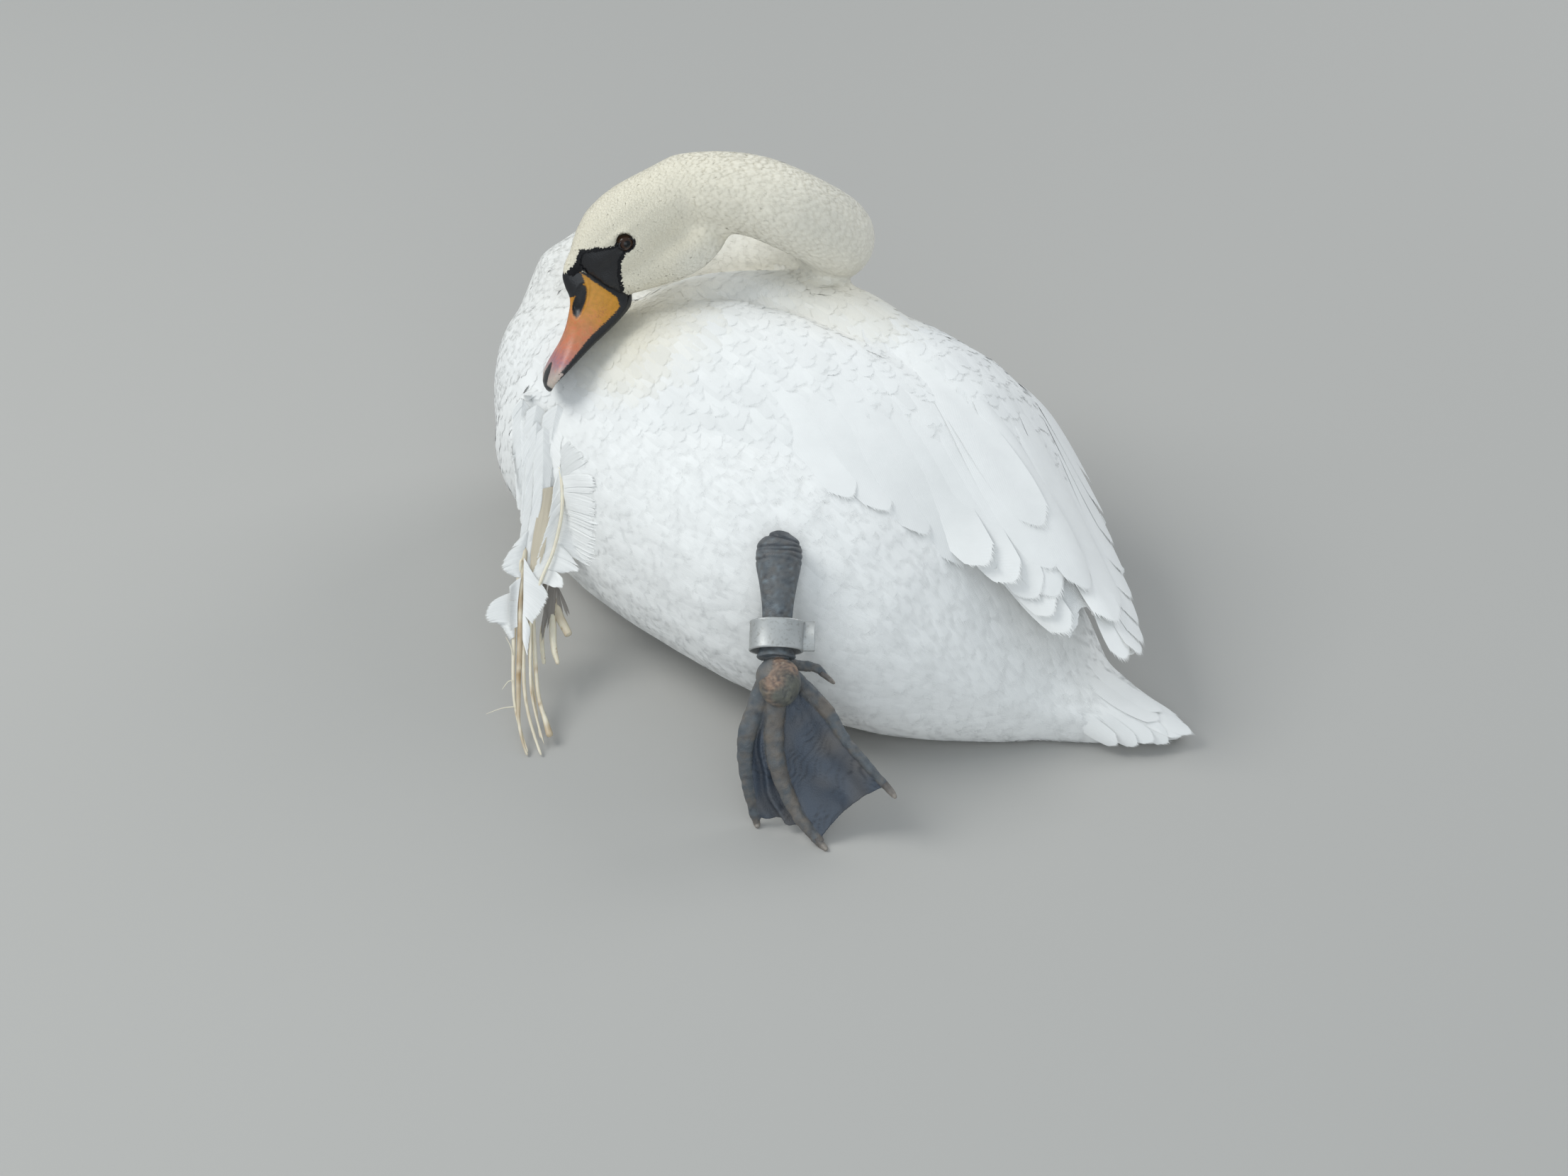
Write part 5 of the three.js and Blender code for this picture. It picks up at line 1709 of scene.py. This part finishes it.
def covert_rows(path, near, far):
    """The two vanes of a whole covert feather, as rows for barb_sheet."""
    v = np.linspace(0, 1, 9)
    spine = smooth_rows(np.array(path, float), v)
    reach = smooth_rows(np.array(path, float), np.minimum(v + 0.16, 1))
    half = (near + (far - near) * v) * np.sqrt(1 - np.clip((v - 0.72) / 0.28, 0, 1) ** 2 * 0.97)
    rows = []
    for side in (-1, 1):
        edge = reach + np.outer(side * half, [0, 1, 0]) - np.outer(half, [0, 0, 0.25])
        rows.append([spine, edge, *COVERT_VANE])
    return rows


def broken_wing(surface, feather):
    """Coverts, torn vanes and bare shafts of the hanging hand."""
    rows = [row for covert in COVERTS for row in covert_rows(*covert)] + VANES
    sheets = [barb_sheet(*row[:7], surface, *row[7:]) for row in rows]
    points, faces = merged([sheet[:2] for sheet in sheets])
    mesh = new_mesh("wing_left_vanes", points, faces)
    loops = faces.ravel()
    strips = [(sheet[4] + [k, 0]) / [len(sheets), 1] for k, sheet in enumerate(sheets)]
    uv_map(mesh, "OFBake", np.concatenate(strips)[loops])
    uv_map(mesh, "Barbs", np.full((len(loops), 2), 0.5))
    color_attribute(mesh, np.concatenate([sheet[3] for sheet in sheets]))
    obj = new_object(mesh.name, mesh, feather)
    mesh.normals_split_custom_set_from_vertices(np.concatenate([sheet[2] for sheet in sheets]).tolist())
    finished(obj, "white_plumage")

    points, faces, tints = shaft_parts()
    mesh = new_mesh("wing_left_shafts", points, faces)
    color_attribute(mesh, tints)
    obj = new_object(mesh.name, mesh, horn_material("quill_horn", 0.45))
    finished(obj, "quill", "wing_left_primaries")


# ---- stage --------------------------------------------------------------------------------------
FLOOR_HALF = 9000
FLOOR_COLOR = (0.46, 0.45, 0.43)
SKY_COLOR = (0.84, 0.93, 1.0, 1)
SKY_STRENGTH = 0.5
LIGHT_TARGET = (0.05, -0.05, 0.12)
# Each light: name, place in metres, power, size, colour
LIGHTS = [
    ("key", (-1.6, -1.3, 2.6), 49, 1.6, (0.98, 0.99, 0.97)),
    ("fill", (1.9, -2.2, 1.5), 24, 2.2, (0.90, 0.96, 1.0)),
    ("rim", (0.6, 2.4, 1.9), 22, 1.6, (1.0, 1.0, 1.0)),
]


def stage():
    """The floor, the sky and the lights, which aren't part of the bird."""
    corners = np.array([[-1, -1, 0], [1, -1, 0], [1, 1, 0], [-1, 1, 0]]) * FLOOR_HALF
    mesh = new_mesh("floor", corners, [[0, 1, 2, 3]])
    paint, _, _, _ = new_material("floor_paint", 0.9, Base_Color=(*FLOOR_COLOR, 1))
    new_object("floor", mesh, paint, False)
    world = bpy.data.worlds.new("studio")
    world.use_nodes = True
    sky = world.node_tree.nodes["Background"]
    sky.inputs["Color"].default_value = SKY_COLOR
    sky.inputs["Strength"].default_value = SKY_STRENGTH
    bpy.context.scene.world = world
    for light in LIGHTS:
        add_light(*light)
    bpy.context.scene.view_settings.view_transform = "Standard"


def add_light(name, place, power, size, color):
    """A square light that points at the bird."""
    light = bpy.data.lights.new(name, "AREA")
    light.energy = power
    light.size = size
    light.color = color
    obj = bpy.data.objects.new(name, light)
    obj.location = place
    obj.rotation_mode = "QUATERNION"
    obj.rotation_quaternion = (Vector(LIGHT_TARGET) - Vector(place)).to_track_quat("-Z", "Y")
    bpy.context.scene.collection.objects.link(obj)


# The main view: the point it looks at in metres, degrees, the distance in metres, and the lens
VIEW_TARGET = (0.020, 0.0, 0.110)
VIEW_AZIMUTH = 39
VIEW_ELEVATION = 35
VIEW_DISTANCE = 2.9
VIEW_LENS = 81.4
VIEW_SHIFT = (-0.0203, -0.0769)


def camera():
    """The main camera."""
    data = bpy.data.cameras.new("camera")
    data.lens = VIEW_LENS
    data.sensor_width = 36
    data.shift_x, data.shift_y = VIEW_SHIFT
    a, e = math.radians(VIEW_AZIMUTH), math.radians(VIEW_ELEVATION)
    back = Vector((math.sin(a) * math.cos(e), -math.cos(a) * math.cos(e), math.sin(e)))
    obj = bpy.data.objects.new("camera", data)
    obj.location = Vector(VIEW_TARGET) + back * VIEW_DISTANCE
    obj.rotation_mode = "QUATERNION"
    obj.rotation_quaternion = back.to_track_quat("Z", "Y")
    bpy.context.scene.collection.objects.link(obj)
    bpy.context.scene.camera = obj


# ---- making it ----------------------------------------------------------------------------------
# Kinds of feather: [vane, trail steps, height of the root below the tip, spread of heights, fray]
FACE_COAT = [FINE_VANE, 2, 0.3, 0.08, 0.14]
NECK_COAT = [FINE_VANE, 3, 0.45, 0.25, 0.16]
BODY_COAT = [BODY_VANE, 3, 0.45, 0.2, 0.12]
WING_COAT = [WING_VANE, 5, 0.8, 0.2, 0.05]
# Where short feathers end, in millimetres along X: the quills go on from there
LEFT_WING_END = 222
RIGHT_WING_END = 248
TAIL_END = 350
WING_FRONT = 60                # ahead of this, the wings' steep front edges have feathers too
LORES_END = in_head(47, 0) @ HEAD_AHEAD
LORES_FOOT = in_head(0, -26) @ HEAD_UP
ABOVE_BODY = 500               # heights from which long feathers are laid down
ABOVE_TAIL = 76


def coat(name, kind, wanted, skin, unwrap, feather, tint=plumage_tint):
    """Feathers of one kind all over the part of the skin where they are wanted."""
    vane, steps, drop, spread, fray = kind
    roots = scatter(skin, wanted)
    faces, weights = roots
    depth, length, half, _ = skin["sizes"][skin["surface"].triangles[faces]].mean(1).T
    count = len(faces)
    length = length * RNG.uniform(0.8, 1.2, count)
    half = half * RNG.uniform(0.85, 1.15, count)
    walk = trails(skin, faces, weights, length, RNG.normal(0, 0.11, count), steps)
    high = depth * 0.9 + RNG.uniform(-1, 0.5, count) * spread
    low = np.maximum(high - drop, 0.15 * depth)
    tints = tint(walk[0][:, 0]) * RNG.uniform(0.97, 1.03, (count, 1))
    shape = (walk, length, half, low, high, fray)
    coat_pieces(name, feather, vane, skin, unwrap, roots, tints, shape)


def one_skin(surface, nodes):
    """The body's skin and both legs' as a single piece."""
    legs = [leg_skin(leg) for leg in (LEFT_LEG, RIGHT_LEG)]
    parts = [(surface.points, surface.triangles)] + [leg[:2] for leg in legs]
    points, triangles = merged(parts)
    mesh = new_mesh("skin", points, triangles)
    color_attribute(mesh, np.concatenate([skin_tint(surface.points)] + [leg[2] for leg in legs]))
    obj = new_object("skin", mesh, skin_material())
    finished(obj, "leg_skin", *nodes, "leg_left", "foot_left", "leg_right", "foot_right")


def coat_regions(skin):
    """Which triangles of the skin each kind of feather grows on."""
    surface = skin["surface"]
    owner = np.array(skin["nodes"])[skin["owner"][surface.triangles[:, 0]]]
    centre = surface.points[surface.triangles].mean(1)
    facing = skin["facing"][surface.triangles].mean(1)
    masked, lids = mask_depth(centre), eye_reach(centre)
    bare = (masked > -0.2) | (lids < 1.6)
    head = owner == "head"
    lores = head & (masked > -0.3) & (masked < 1.5) & (lids > 1.5)
    lores &= (centre @ HEAD_UP > LORES_FOOT) & (centre @ HEAD_AHEAD < LORES_END)
    wing = np.char.startswith(owner, "wing") & ((facing < 0.8) | (centre[:, 0] < WING_FRONT))
    wing &= centre[:, 0] < np.where(owner == "wing_left", LEFT_WING_END, RIGHT_WING_END)
    tail = (owner == "tail") & (facing < 0.7) & (centre[:, 0] < TAIL_END)
    neck = np.char.startswith(owner, "neck") & ~bare
    return head & ~bare, lores, neck, tail | (owner == "trunk"), wing


def plumage():
    """The skin, its coat of feathers, the long feathers and the hanging wing."""
    skin = flesh()
    unwrap = unwrapped(skin)
    one_skin(skin["surface"], skin["nodes"])
    feather = plumage_material()
    head, lores, neck, body, wing = coat_regions(skin)
    coat("coat_head", FACE_COAT, head, skin, unwrap, feather)
    coat("coat_lores", FACE_COAT, lores, skin, unwrap, feather, black_tint)
    coat("coat_neck", NECK_COAT, neck, skin, unwrap, feather)
    coat("coat_body", BODY_COAT, body, skin, unwrap, feather)
    coat("coat_wing", WING_COAT, wing, skin, unwrap, feather)
    long_feathers("quills_wing_left", LEFT_WING_LONG, ABOVE_BODY, skin, unwrap, feather)
    long_feathers("quills_wing_right", RIGHT_WING_LONG, ABOVE_BODY, skin, unwrap, feather)
    long_feathers("quills_tail", TAIL_LONG, ABOVE_TAIL, skin, unwrap, feather)
    broken_wing(skin["surface"], feather)


plumage()
bill()
eyes()
leg_ring()
claws()
stage()
camera()
